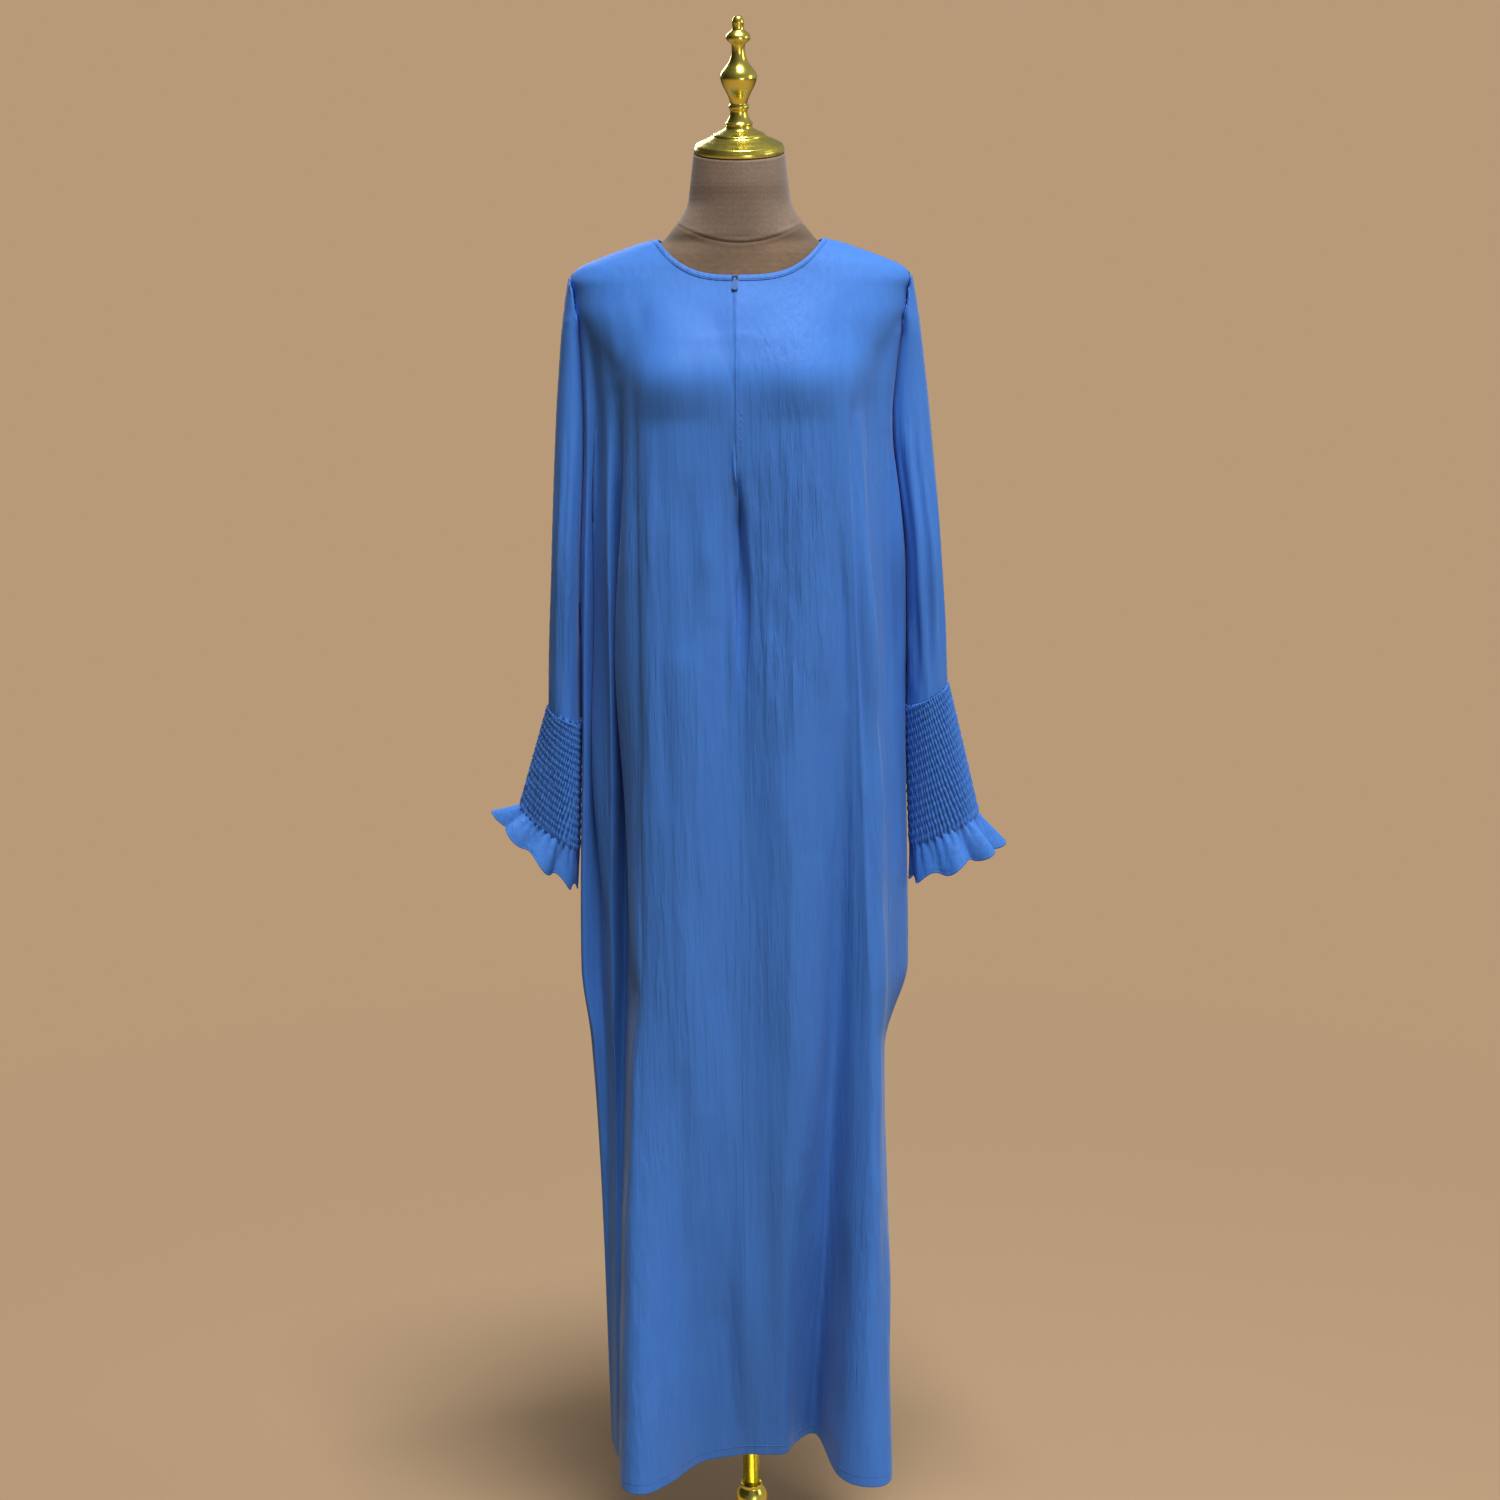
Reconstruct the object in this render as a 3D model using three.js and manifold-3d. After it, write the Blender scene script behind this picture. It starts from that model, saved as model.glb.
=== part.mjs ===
// A long loose batwing robe (jilbab) in plain blue crinkle crepe, hanging on a
// limbless linen dress form with a gilt neck cap, finial and pole stand.
// Millimetres, +Z up, the front faces -Y. Left and right are the wearer's, so
// the left half is at +X. Every cloth piece is a wall of the real sewing piece.
import * as THREE from 'three';
import { mergeVertices } from 'three/addons/utils/BufferGeometryUtils.js';
import Module from 'manifold-3d';

const wasm = await Module();
wasm.setup();

// ---------------------------------------------------------------- sizes
const CLOTH = 1.6;            // wall of the crepe panels
const CUFF_WALL = 1.8;        // wall of the shirred cuffs
const SEAM = 0.3;             // air at every seam
const CF_X = -6;              // the centre-front line
const NECK_HALF = 91;         // half the neck opening
const NECK_DROP = 39;         // front neck drop
const NECK_RISE = 3.2;        // how late the neckline climbs to the shoulder
const BACK_DROP = 20;         // back neck drop
const SHOULDER_TIP = 190;     // where the overarm seam leaves the shoulder
const DRAPE_Z = 1430;         // above it the cloth lies on the form
const HEM_Z = 115;
const REST = 1.0;             // air between form and cloth on the shoulders
const STEP = 80;              // row spacing down the body
const BIND = 4.6;             // width of the neck binding
const LIFT = 110;             // how far the stand raises the dressed form
const CAP_TILT = 12 * Math.PI / 180;

// ---------------------------------------------------------------- helpers
const clamp = (v, a = 0, b = 1) => Math.min(b, Math.max(a, v));
const mix = (a, b, t) => a + (b - a) * t;
const smooth = (a, b, v) => { const t = clamp((v - a) / (b - a)); return t * t * (3 - 2 * t); };
const hypot = Math.hypot;

// Monotone cubic through (xs, ys); xs may run up or down.
function curve(xs, ys) {
  const o = xs.map((x, i) => [x, ys[i]]).sort((p, q) => p[0] - q[0]);
  const n = o.length, s = [], m = [];
  for (let i = 0; i < n - 1; i++) s.push((o[i + 1][1] - o[i][1]) / (o[i + 1][0] - o[i][0]));
  for (let i = 0; i < n; i++) {
    if (i === 0) m.push(s[0]);
    else if (i === n - 1) m.push(s[n - 2]);
    else m.push(s[i - 1] * s[i] <= 0 ? 0 : 2 * s[i - 1] * s[i] / (s[i - 1] + s[i]));
  }
  return (x) => {
    if (x <= o[0][0]) return o[0][1];
    if (x >= o[n - 1][0]) return o[n - 1][1];
    let i = 0;
    while (x > o[i + 1][0]) i++;
    const h = o[i + 1][0] - o[i][0], t = (x - o[i][0]) / h, t2 = t * t, t3 = t2 * t;
    return (2 * t3 - 3 * t2 + 1) * o[i][1] + (t3 - 2 * t2 + t) * h * m[i] +
      (3 * t2 - 2 * t3) * o[i + 1][1] + (t3 - t2) * h * m[i + 1];
  };
}

const material = (color, metalness, roughness) => new THREE.MeshStandardMaterial({ color, metalness, roughness });
const CREPE = () => material('#4a7bd0', 0, 0.85);
const LINEN = () => material('#b09a7c', 0, 0.95);
const GOLD = () => material('#d9b32a', 1, 0.2);
const ZIP_METAL = () => material('#4f7fd2', 0.2, 0.4);
const ZIP_CLOTH = () => material('#3f6dc0', 0, 0.8);

function solid(name, points, faces, mat) {
  let v = 0;
  for (const [a, b, c] of faces) {
    const p = points[a], q = points[b], r = points[c];
    v += p[0] * (q[1] * r[2] - q[2] * r[1]) + p[1] * (q[2] * r[0] - q[0] * r[2]) + p[2] * (q[0] * r[1] - q[1] * r[0]);
  }
  const geometry = new THREE.BufferGeometry();
  geometry.setAttribute('position', new THREE.Float32BufferAttribute(points.flat(), 3));
  geometry.setIndex(faces.flatMap(([a, b, c]) => (v > 0 ? [a, b, c] : [a, c, b])));
  geometry.computeVertexNormals();
  const mesh = new THREE.Mesh(geometry, mat);
  mesh.name = name;
  return mesh;
}

// Rings of equal count joined in order; either capped at both ends or closed
// end to end, which makes the wall of a tube.
function loft(name, rings, mat, { closed = false } = {}) {
  const n = rings[0].length, points = rings.flat(), faces = [];
  const last = closed ? rings.length : rings.length - 1;
  for (let k = 0; k < last; k++) {
    const a = k * n, b = ((k + 1) % rings.length) * n;
    for (let i = 0; i < n; i++) {
      const j = (i + 1) % n;
      faces.push([a + i, a + j, b + j], [a + i, b + j, b + i]);
    }
  }
  if (!closed) {
    for (const [k, flip] of [[0, true], [rings.length - 1, false]]) {
      const c = points.length, ring = rings[k];
      points.push([0, 1, 2].map((d) => ring.reduce((s, p) => s + p[d], 0) / n));
      for (let i = 0; i < n; i++) {
        const j = (i + 1) % n, a = k * n + i, b = k * n + j;
        faces.push(flip ? [c, b, a] : [c, a, b]);
      }
    }
  }
  return solid(name, points, faces, mat);
}

// A turned piece: [radius, height] rows from the axis back to the axis, turned
// about +Z, then leaned forward about X at `at`.
function turned(name, profile, mat, { n = 28, at = [0, 0, 0], lean = 0 } = {}) {
  const geometry = new THREE.LatheGeometry(profile.map(([r, h]) => new THREE.Vector2(r, h)), n);
  geometry.rotateX(Math.PI / 2);
  const mesh = new THREE.Mesh(geometry, mat);
  mesh.name = name;
  mesh.position.set(...at);
  mesh.rotation.x = lean;
  return mesh;
}
const closedAt = (rows) => [[0, rows[0][1]], ...rows, [0, rows[rows.length - 1][1]]];

// ---------------------------------------------------------------- dress form
// One row per level: half width, depth in front and behind, roundness of the
// section and how far its middle stands forward.
const FORM_COLUMNS = ['z', 'half', 'front', 'back', 'power', 'mid'];
const FORM = [
  [1625, 50.0, 48, 49, 2.0, -13],
  [1594, 54.0, 52, 53, 2.0, -9],
  [1573, 57.0, 54, 56, 2.0, -5],
  [1551, 69.0, 57, 62, 2.0, -1],
  [1541, 77.5, 58, 66, 2.0, 0],
  [1531, 86.4, 57.5, 69.5, 1.9, 0],
  [1516, 142, 61, 77, 1.8, 0],
  [1503, 174, 65, 84, 1.8, 0],
  [1488, 183, 71, 90, 1.9, 0],
  [1460, 181, 86, 96, 2.0, 0],
  [1430, 172, 99, 100, 2.1, 0],
  [1385, 152, 114, 101, 2.2, 0],
  [1340, 141, 106, 97, 2.2, 0],
  [1290, 130, 92, 90, 2.2, 0],
  [1180, 116, 80, 83, 2.1, 0],
  [1080, 130, 86, 92, 2.1, 0],
  [985, 139, 90, 97, 2.1, 0],
  [890, 132, 84, 92, 2.1, 0],
];
const formAt = Object.fromEntries(FORM_COLUMNS.slice(1).map((c, k) => [c, curve(FORM.map((r) => r[0]), FORM.map((r) => r[k + 1]))]));

function formPoint(a, z) {             // a: 0 at +X, -90 degrees at the front
  const c = Math.cos(a), s = Math.sin(a), p = 2 / formAt.power(z);
  const b = s < 0 ? formAt.front(z) : formAt.back(z);
  return [Math.sign(c) * Math.abs(c) ** p * formAt.half(z), formAt.mid(z) + Math.sign(s) * Math.abs(s) ** p * b, z];
}

// Cloth shoulder line beyond the neck, and the same line read the other way.
const SHOULDER = { x: [91, 107, 124, 142, 160, 176, 184, 190, 194], z: [1534, 1531, 1525.5, 1519.2, 1512.4, 1505.6, 1500, 1492, 1482] };
const shoulderZ = curve(SHOULDER.x, SHOULDER.z), shoulderX = curve(SHOULDER.z, SHOULDER.x);

// Depth at (x, z) of the skin that a cloth lies in on the form, null past its edge.
function skin(x, z, face, air) {
  const wide = formAt.half(z) + air, edge = Math.max(wide, mix(wide, shoulderX(z), smooth(1474, 1504, z))), u = Math.abs(x) / edge, p = formAt.power(z);
  if (u >= 1) return null;
  const deep = (face < 0 ? formAt.front(z) - formAt.mid(z) : formAt.back(z) + formAt.mid(z)) + air * 1.2 + 0.5;
  return deep * (1 - u ** p) ** (1 / p);
}

function dressForm() {
  const parts = [], n = 36;
  const levels = [890, 985, 1080, 1180, 1290, 1340, 1385, 1430, 1460, 1475, 1488, 1496, 1503, 1510, 1517, 1524, 1531, 1541, 1551, 1562, 1575, 1594, 1625];
  const rings = levels.map((z) => Array.from({ length: n }, (_, i) => {
    const q = formPoint(2 * Math.PI * (i + 0.5) / n, z), slant = Math.tan(CAP_TILT) * smooth(1575, 1625, z);
    return [q[0], q[1], z + slant * (q[1] - formAt.mid(z))];
  }));
  rings.unshift(rings[0].map(([x, y]) => [x * 0.93, y * 0.93, 884]));
  parts.push(loft('form_torso', rings, LINEN()));

  for (const part of parts) part.position.z = LIFT;

  // The gilt cap follows the slanted neck top and carries the finial.
  const seat = [0, formAt.mid(1625), LIFT + 1625];
  const up = (h) => [seat[0], seat[1] - h * Math.sin(CAP_TILT), seat[2] + h * Math.cos(CAP_TILT)];
  parts.push(turned('neck_cap', closedAt([
    [46, 0], [49, 1.2], [49.4, 4], [48.4, 8], [46, 10], [42, 12], [34, 15.5], [28.5, 18.5], [27.6, 20.5], [22, 22.5], [16, 25.5], [14.4, 29],
  ]), GOLD(), { at: up(SEAM), lean: CAP_TILT, n: 28 }));
  parts.push(turned('finial', closedAt([
    [14.4, 0], [15, 2.2], [13.6, 5], [11, 10], [9.4, 16], [10.8, 18], [11, 20.5], [9.6, 22.5], [10.6, 28], [13.6, 34.5], [18, 42.5],
    [20, 49.5], [19.6, 53.5], [15, 60], [9.8, 67.5], [7.4, 75.5], [7.4, 84.5], [10.5, 87.5], [13.3, 91], [12.2, 95], [7, 99], [6.3, 103], [6.6, 107], [5, 111.6], [2, 114],
  ]), GOLD(), { at: up(SEAM + 29 + SEAM), lean: CAP_TILT, n: 18 }));

  // Pole and foot.
  parts.push(turned('pole', closedAt([[9.7, 12.3], [10.5, 13.1], [10.5, LIFT + 882.9], [9.7, LIFT + 883.7]]), GOLD(), { n: 20 }));
  parts.push(turned('pole_collar', [[10.8, 12.3], [30, 12.3], [30, 15], [22, 19], [16.5, 30], [14.5, 60], [14.5, 96], [18, 104], [19.5, 112], [18, 120], [13.2, 127], [13.2, 132], [10.8, 132], [10.8, 12.3]], GOLD(), { n: 16 }));
  parts.push(turned('base', closedAt([[146, 0], [150, 3], [150, 6], [146, 9.4], [40, 12]]), GOLD(), { n: 36 }));
  return parts;
}

// ---------------------------------------------------------------- the robe
const LEVELS = [1430, 1385, 1340, 1170, 1010, 700, 600, 115];
// Outline shared by the pieces that meet along it, one row per line:
// the underarm and side seam, and the overarm seam down to the cuff.
const LINES = {
  left: { seam: [179, 172.8, 169, 184, 184.6, 191, 161, 158], over: [200.5, 205.9, 211, 226, 233, 233, 233, 233] },
  right: { seam: [180, 178.1, 177, 184.5, 187, 195.5, 186, 165], over: [200, 204.2, 208, 218, 225, 225, 225, 225] },
};
const CUFFS = {
  // cuff top, end of the smocking and ruffle edge: [inner x, inner z, outer x, outer z, half depth]
  left: { side: 1, top: [187, 1010, 233, 1033, 38], end: [193.5, 846, 270, 879, 29], edge: [194, 801, 297, 843, 40] },
  right: { side: -1, top: [190, 992, 225, 1010, 37], end: [196, 842, 261, 892, 30], edge: [199.5, 794, 286, 877, 40] },
};

// Fold lines of the fronts from the centre out; x and y at each of LEVELS.
const FRONT = {
  left: [
    { fold: 'lip', top: 6, x: [6, 4.1, 3, 7, 12, 18, 19, 20], y: [-102, -122, -121, -117, -119, -121, -121, -99] },
    { fold: 'mid', top: 38, x: [34, 34, 34, 38, 42, 46, 45, 42], y: [-105, -125, -121, -121, -126, -130, -128, -96] },
    { fold: 'brow', top: 72, x: [64, 65, 66, 70, 72, 70, 68, 56], y: [-104, -126, -120, -120, -121, -119, -116, -68] },
    { fold: 'trough', top: NECK_HALF + BIND, x: [92, 94.1, 96, 102, 106, 102, 98, 80], y: [-94, -116, -111, -106, -101, -88, -84, -54] },
    { fold: 'rise', top: 112, x: [110, 109.4, 109, 117, 122, 124, 124, 101], y: [-84, -104, -104, -102, -101, -102, -106, -146] },
    { fold: 'ridge', top: 134, x: [128, 123.6, 121, 130, 136, 148, 151, 133], y: [-68, -93, -94, -97, -99, -108, -114, -174] },
    { fold: 'fall', top: 158, x: [150, 145.6, 143, 154, 159, 165, 158, 163], y: [-46, -57, -59, -56, -52, -54, -63, -160] },
    { fold: 'edge', top: 173, x: [172, 167, 164, 181, 183, 187, 162, 166], y: [-27, -31, -32, -26, -20, -17, -26, -84] },
  ],
  right: [
    { fold: 'lip', top: 18, x: [18, 16.1, 15, 19, 22, 28, 28, 26], y: [-102, -123, -121, -117, -119, -121, -121, -103] },
    { fold: 'mid', top: 45, x: [45, 45.5, 46, 50, 52, 56, 56, 60], y: [-105, -126, -121, -122, -127, -131, -131, -116] },
    { fold: 'brow', top: 73, x: [73, 74.5, 76, 82, 84, 86, 88, 93], y: [-102, -126, -119, -121, -124, -128, -130, -160] },
    { fold: 'ridge', top: NECK_HALF + BIND, x: [100, 102.1, 104, 109, 110, 114, 120, 124], y: [-91, -113, -107, -112, -115, -120, -126, -186] },
    { fold: 'lap', top: 120, x: [119, 119.5, 120, 121, 121, 128, 134, 150], y: [-75, -90, -89, -96, -98, -104, -112, -172] },
    { fold: 'groove', top: 138, x: [136, 134.3, 133, 131, 133, 141, 144, 157], y: [-58, -66, -62, -42, -36, -28, -36, -110] },
    { fold: 'strip', top: 156, x: [152, 150.1, 149, 151, 153, 157, 157, 161], y: [-43, -52, -54, -66, -62, -44, -44, -94] },
    { fold: 'tuck', top: 167, x: [163, 161.1, 160, 163, 166, 172, 168, 166], y: [-33, -31, -28, -17, -12, -12, -20, -70] },
    { fold: 'edge', top: 174, x: [174, 172.8, 172, 178, 183, 192, 181, 169], y: [-25, -28, -30, -31, -28, -21, -22, -54] },
  ],
};
// Fold lines of the back from its middle out, used on both sides.
const BACK = [
  { fold: 'mid', top: 34, x: [30, 30, 30, 32, 32, 33, 33, 34], y: [103, 105.8, 108, 112, 114, 120, 122, 128] },
  { fold: 'soft', top: 70, x: [62, 62, 62, 66, 66, 64, 64, 62], y: [101, 104.5, 107, 109, 109, 108, 108, 104] },
  { fold: 'swell', top: NECK_HALF + BIND, x: [96, 94.8, 94, 98, 98, 99, 98, 96], y: [92, 97, 101, 108, 112, 120, 122, 142] },
  { fold: 'sink', top: 126, x: [124, 121.5, 120, 126, 127, 126, 124, 124], y: [74, 79, 82, 82, 80, 74, 72, 84] },
  { fold: 'roll', top: 152, x: [149, 145.9, 144, 151, 153, 154, 146, 148], y: [50, 57, 62, 66, 66, 68, 66, 96] },
  { fold: 'edge', top: 173, x: [172, 167, 164, 176, 180, 187, 162, 162], y: [27, 30.1, 32, 28, 22, 18, 24, 44] },
];

// The neckline (grow 0) and the panels' edge under the binding (grow BIND).
const neckline = (x, face, grow) => {
  const half = NECK_HALF + grow, top = shoulderZ(half), drop = (face < 0 ? NECK_DROP : BACK_DROP) + grow;
  return top - drop * (1 - clamp(Math.abs(x) / half) ** (face < 0 ? NECK_RISE : 3));
};
// Rows shared by every panel: from the top line to DRAPE_Z, then by STEP.
const UPPER = 7;
const CROTCH_Z = 1010;
const ROW_Z = [1402, 1372, 1290, 1220, 1150, 1080, CROTCH_Z];
const CUFF_ROW = UPPER + ROW_Z.length;
for (let z = CROTCH_Z - 40; z > HEM_Z + 20; z -= (z < 240 ? 48 : STEP)) ROW_Z.push(z);
ROW_Z.push(HEM_Z);
const ROWS = UPPER + ROW_Z.length + 1;

function ellipse(c, side, a) {                 // a: 0 inner end, 90 front, 180 outer end
  const [xi, zi, xo, zo, d] = c, t = 0.5 - 0.5 * Math.cos(a);
  return [side * mix(xi, xo, t), -d * Math.sin(a), mix(zi, zo, t)];
}

// Half a panel from its middle line to the overarm seam; face is -1 on the
// front and 1 on the back. Its at(u, z) gives a point on fold line u.
function half(sideName, face, folds, middle) {
  const side = sideName === 'left' ? 1 : -1, line = LINES[sideName], cuff = CUFFS[sideName].top;
  const seam = { top: 179, x: curve(LEVELS, line.seam), y: () => 0 };
  const over = curve(LEVELS, line.over);
  const stations = [middle, ...folds.map((f) => ({ top: f.top, x: curve(LEVELS, f.x), y: curve(LEVELS, f.y) })), seam];
  const body = stations.length - 1;
  // Depth of the valley between body and sleeve; it closes on the underarm seam at the cuff.
  const valley = (z) => {
    const shallow = Math.abs(stations[body - 1].y(z)) * 0.86;
    return 0.5 * SEAM + mix(mix(1.7, 9.5, smooth(CROTCH_Z, 1110, z)), shallow, smooth(1425, 1482, z));
  };
  const across = (u, z) => {
    const i = Math.min(Math.floor(u), body - 1), t = u - i;
    const g = (k) => {
      const s = stations[clamp(k, 0, body)];
      return [s.x(z), k >= body ? face * (z > CROTCH_Z + 1 ? valley(z) : 0.5 * SEAM) : s.y(z), s.top];
    };
    const b = g(i), c = g(i + 1);
    const a = i === 0 ? [2 * b[0] - c[0], c[1], 2 * b[2] - c[2]] : g(i - 1);
    const d = i === body - 1 ? [c[0] + 0.3 * (c[0] - b[0]), c[1] - face * 4, c[2] + 3] : g(i + 2);
    return [0, 1, 2].map((k) => {
      const m0 = (c[k] - a[k]) / 2, m1 = (d[k] - b[k]) / 2, t2 = t * t, t3 = t2 * t;
      return (2 * t3 - 3 * t2 + 1) * b[k] + (t3 - 2 * t2 + t) * m0 + (3 * t2 - 2 * t3) * c[k] + (t3 - t2) * m1;
    });
  };
  const topOf = (u) => {                        // u past body runs over the sleeve, up to body + 1
    const t = u > body ? mix(seam.top, SHOULDER_TIP, u - body) : across(u, DRAPE_Z)[2];
    const z = t < NECK_HALF + BIND ? neckline(t, face, BIND) : shoulderZ(t);
    return [t, z];
  };
  const at = (u, z) => {
    const [tx, tz] = topOf(u), f = clamp((tz - z) / (tz - DRAPE_Z)), low = Math.min(z, DRAPE_Z);
    const isBody = u <= body;
    let x, y;
    let slope = 0;                               // how fast the fold line comes forward at DRAPE_Z
    if (isBody) {
      [x, y] = across(u, low);
      slope = clamp((Math.abs(across(u, DRAPE_Z - 4)[1]) - Math.abs(across(u, DRAPE_Z)[1])) / 4, 0, 0.5);
    } else {
      const w = u - body, a = Math.PI * w, k = smooth(CROTCH_Z, 1240, low);
      const deep = mix(cuff[4], mix(44, 24, smooth(1150, 1430, low)), k);
      const base = z > DRAPE_Z ? Math.abs(at(body, z)[1]) : valley(z);
      x = mix(mix(seam.x(low), cuff[0], 1 - k), over(low), 0.5 - 0.5 * Math.cos(a));
      const hump = base * (1 - w) ** 2 + (deep - base * 0.4) * Math.sin(a) ** 0.8;
      y = face * (mix(hump, base * (1 - w * w) ** 0.6, smooth(1446, 1496, z)) + 0.5 * SEAM * w);
    }
    if (z >= DRAPE_Z) x = mix(tx, x, f ** 0.8);
    // The cloth lies on the form and leaves it where the folds begin. The
    // front stands off a little more along the zip.
    const air = REST + CLOTH + (face < 0 ? 2.1 * Math.exp(-(((side * x - CF_X) / 17) ** 2)) : 0);
    const lie = (z > 885 && skin(x, z, face, air)) || 0;
    if (z >= DRAPE_Z) {
      const free = smooth(0.45, 1, f), rise = Math.sqrt(clamp(f * 6));
      if (u > body - 0.01 && u < body + 0.01) y = face * mix(valley(z) * rise, valley(z), f);
      const onward = Math.max(Math.abs(y) - slope * (z - DRAPE_Z), 0);
      y = face * mix(lie || Math.abs(y) * rise, isBody && u < body - 0.01 ? onward : Math.abs(y), free);
    }
    if (Math.abs(y) < lie) y = face * lie;
    if (z >= tz - 1e-6 && tx >= NECK_HALF + BIND) y = face * 0.5 * SEAM;
    if (u === body + 1) y = face * 0.5 * SEAM;
    return [side * x, y, z];
  };
  return { side, face, body, cuff, topOf, at };
}

// The half's grid of outer points: columns from the middle to the overarm seam.
function grid(h, split) {
  const { body, cuff, topOf, at } = h, us = [], sleeve = 8;
  for (let s = 0; s < body; s++) for (let k = 0; k < split[s]; k++) us.push(s + k / split[s]);
  const seamCol = us.length;
  for (let k = 0; k <= sleeve; k++) us.push(body + k / sleeve);
  const P = us.map((u) => {
    const top = topOf(u)[1], col = [], w = Math.max(0, u - body);
    for (let r = 0; r < ROWS; r++) {
      if (w > 0 && r > CUFF_ROW) { col.push(null); continue; }
      const z = r <= UPPER ? mix(top, DRAPE_Z, (r / UPPER) ** 1.7) : ROW_Z[r - UPPER - 1];
      const p = at(u, z);
      // The sleeve's last rows tip over to meet the slanted top of the cuff.
      if (r > UPPER && r <= CUFF_ROW && u >= body) p[2] += (mix(cuff[1], cuff[3], 0.5 - 0.5 * Math.cos(Math.PI * w)) - CROTCH_Z) * smooth(1230, CROTCH_Z, z);
      col.push(p);
    }
    return col;
  });
  const kinds = us.map((u, c) => (c === 0 ? 'middle' : c === seamCol ? 'seam' : c === us.length - 1 ? 'over' : c > seamCol ? 'sleeve' : 'body'));
  return { P, kinds };
}

// Closed wall of a masked grid of outer points.
function wall(name, P, kinds, mat, thick = CLOTH, slopes = {}) {
  const nc = P.length, nr = P[0].length, id = P.map(() => new Array(nr).fill(-1));
  const sub = (a, b) => [a[0] - b[0], a[1] - b[1], a[2] - b[2]];
  const cross = (a, b) => [a[1] * b[2] - a[2] * b[1], a[2] * b[0] - a[0] * b[2], a[0] * b[1] - a[1] * b[0]];
  const quads = [];
  for (let c = 0; c < nc - 1; c++) for (let r = 0; r < nr - 1; r++) {
    if (P[c][r] && P[c + 1][r] && P[c][r + 1] && P[c + 1][r + 1]) quads.push([c, r]);
  }
  const used = [], sums = P.map(() => new Array(nr).fill(null));
  for (const [c, r] of quads) {
    let n = cross(sub(P[c + 1][r + 1], P[c][r]), sub(P[c + 1][r], P[c][r + 1]));
    const l = hypot(...n) || 1;
    n = n.map((v) => v / l);
    for (const [a, b] of [[c, r], [c + 1, r], [c, r + 1], [c + 1, r + 1]]) {
      if (!sums[a][b]) { sums[a][b] = []; used.push([a, b]); }
      sums[a][b].push(n);
    }
  }
  const outer = [], inner = [];
  for (const [c, r] of used) {
    let n = [0, 1, 2].map((k) => sums[c][r].reduce((s, v) => s + v[k], 0));
    const kind = kinds[c];
    if (kind === 'middle') n[0] = 0;
    if (kind === 'over') n[1] = 0;
    if (kind === 'seam') { if (r > CUFF_ROW) n[1] = 0; else { n[0] *= 0.2; n[2] *= 0.2; } }
    if (r === 0 && Math.abs(P[c][0][0]) >= NECK_HALF + BIND - 0.01) n[1] = 0;
    const l = hypot(...n) || 1;
    n = n.map((v) => v / l);
    const least = Math.min(...sums[c][r].map((m) => m[0] * n[0] + m[1] * n[1] + m[2] * n[2]));
    let t = thick * (kind === 'seam' || kind === 'over' || r === 0 ? 1 : clamp(1 / Math.max(least, 0.3), 1, 1.8));
    if (kind === 'seam' && r > UPPER && r <= CUFF_ROW) t = mix(thick, thick * 1.5, smooth(1010, 1120, P[c][r][2]));
    id[c][r] = outer.length;
    outer.push(P[c][r]);
    const q = P[c][r].map((v, k) => v - n[k] * t);
    if (r === CUFF_ROW && (kind === 'sleeve' || kind === 'over')) q[2] = P[c][r][2] + (q[0] - P[c][r][0]) * slopes[P[c][r][0] < 0 ? 'right' : 'left'];
    inner.push(q);
  }
  const m = outer.length, faces = [];
  const key = (a, b) => `${a},${b}`, seen = new Map();
  for (const [c, r] of quads) {
    const a = id[c][r], b = id[c + 1][r], d = id[c + 1][r + 1], e = id[c][r + 1];
    const diag1 = hypot(...sub(outer[a], outer[d])), diag2 = hypot(...sub(outer[b], outer[e]));
    const two = diag1 <= diag2 ? [[a, b, d], [a, d, e]] : [[a, b, e], [b, d, e]];
    for (const t of two) {
      faces.push(t, [m + t[0], m + t[2], m + t[1]]);
    }
    for (const [p, q] of [[a, b], [b, d], [d, e], [e, a]]) {
      if (seen.has(key(q, p))) seen.delete(key(q, p)); else seen.set(key(p, q), [p, q]);
    }
  }
  for (const [p, q] of seen.values()) faces.push([q, p, m + p], [q, m + p, m + q]);
  return solid(name, [...outer, ...inner], faces, mat);
}

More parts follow.
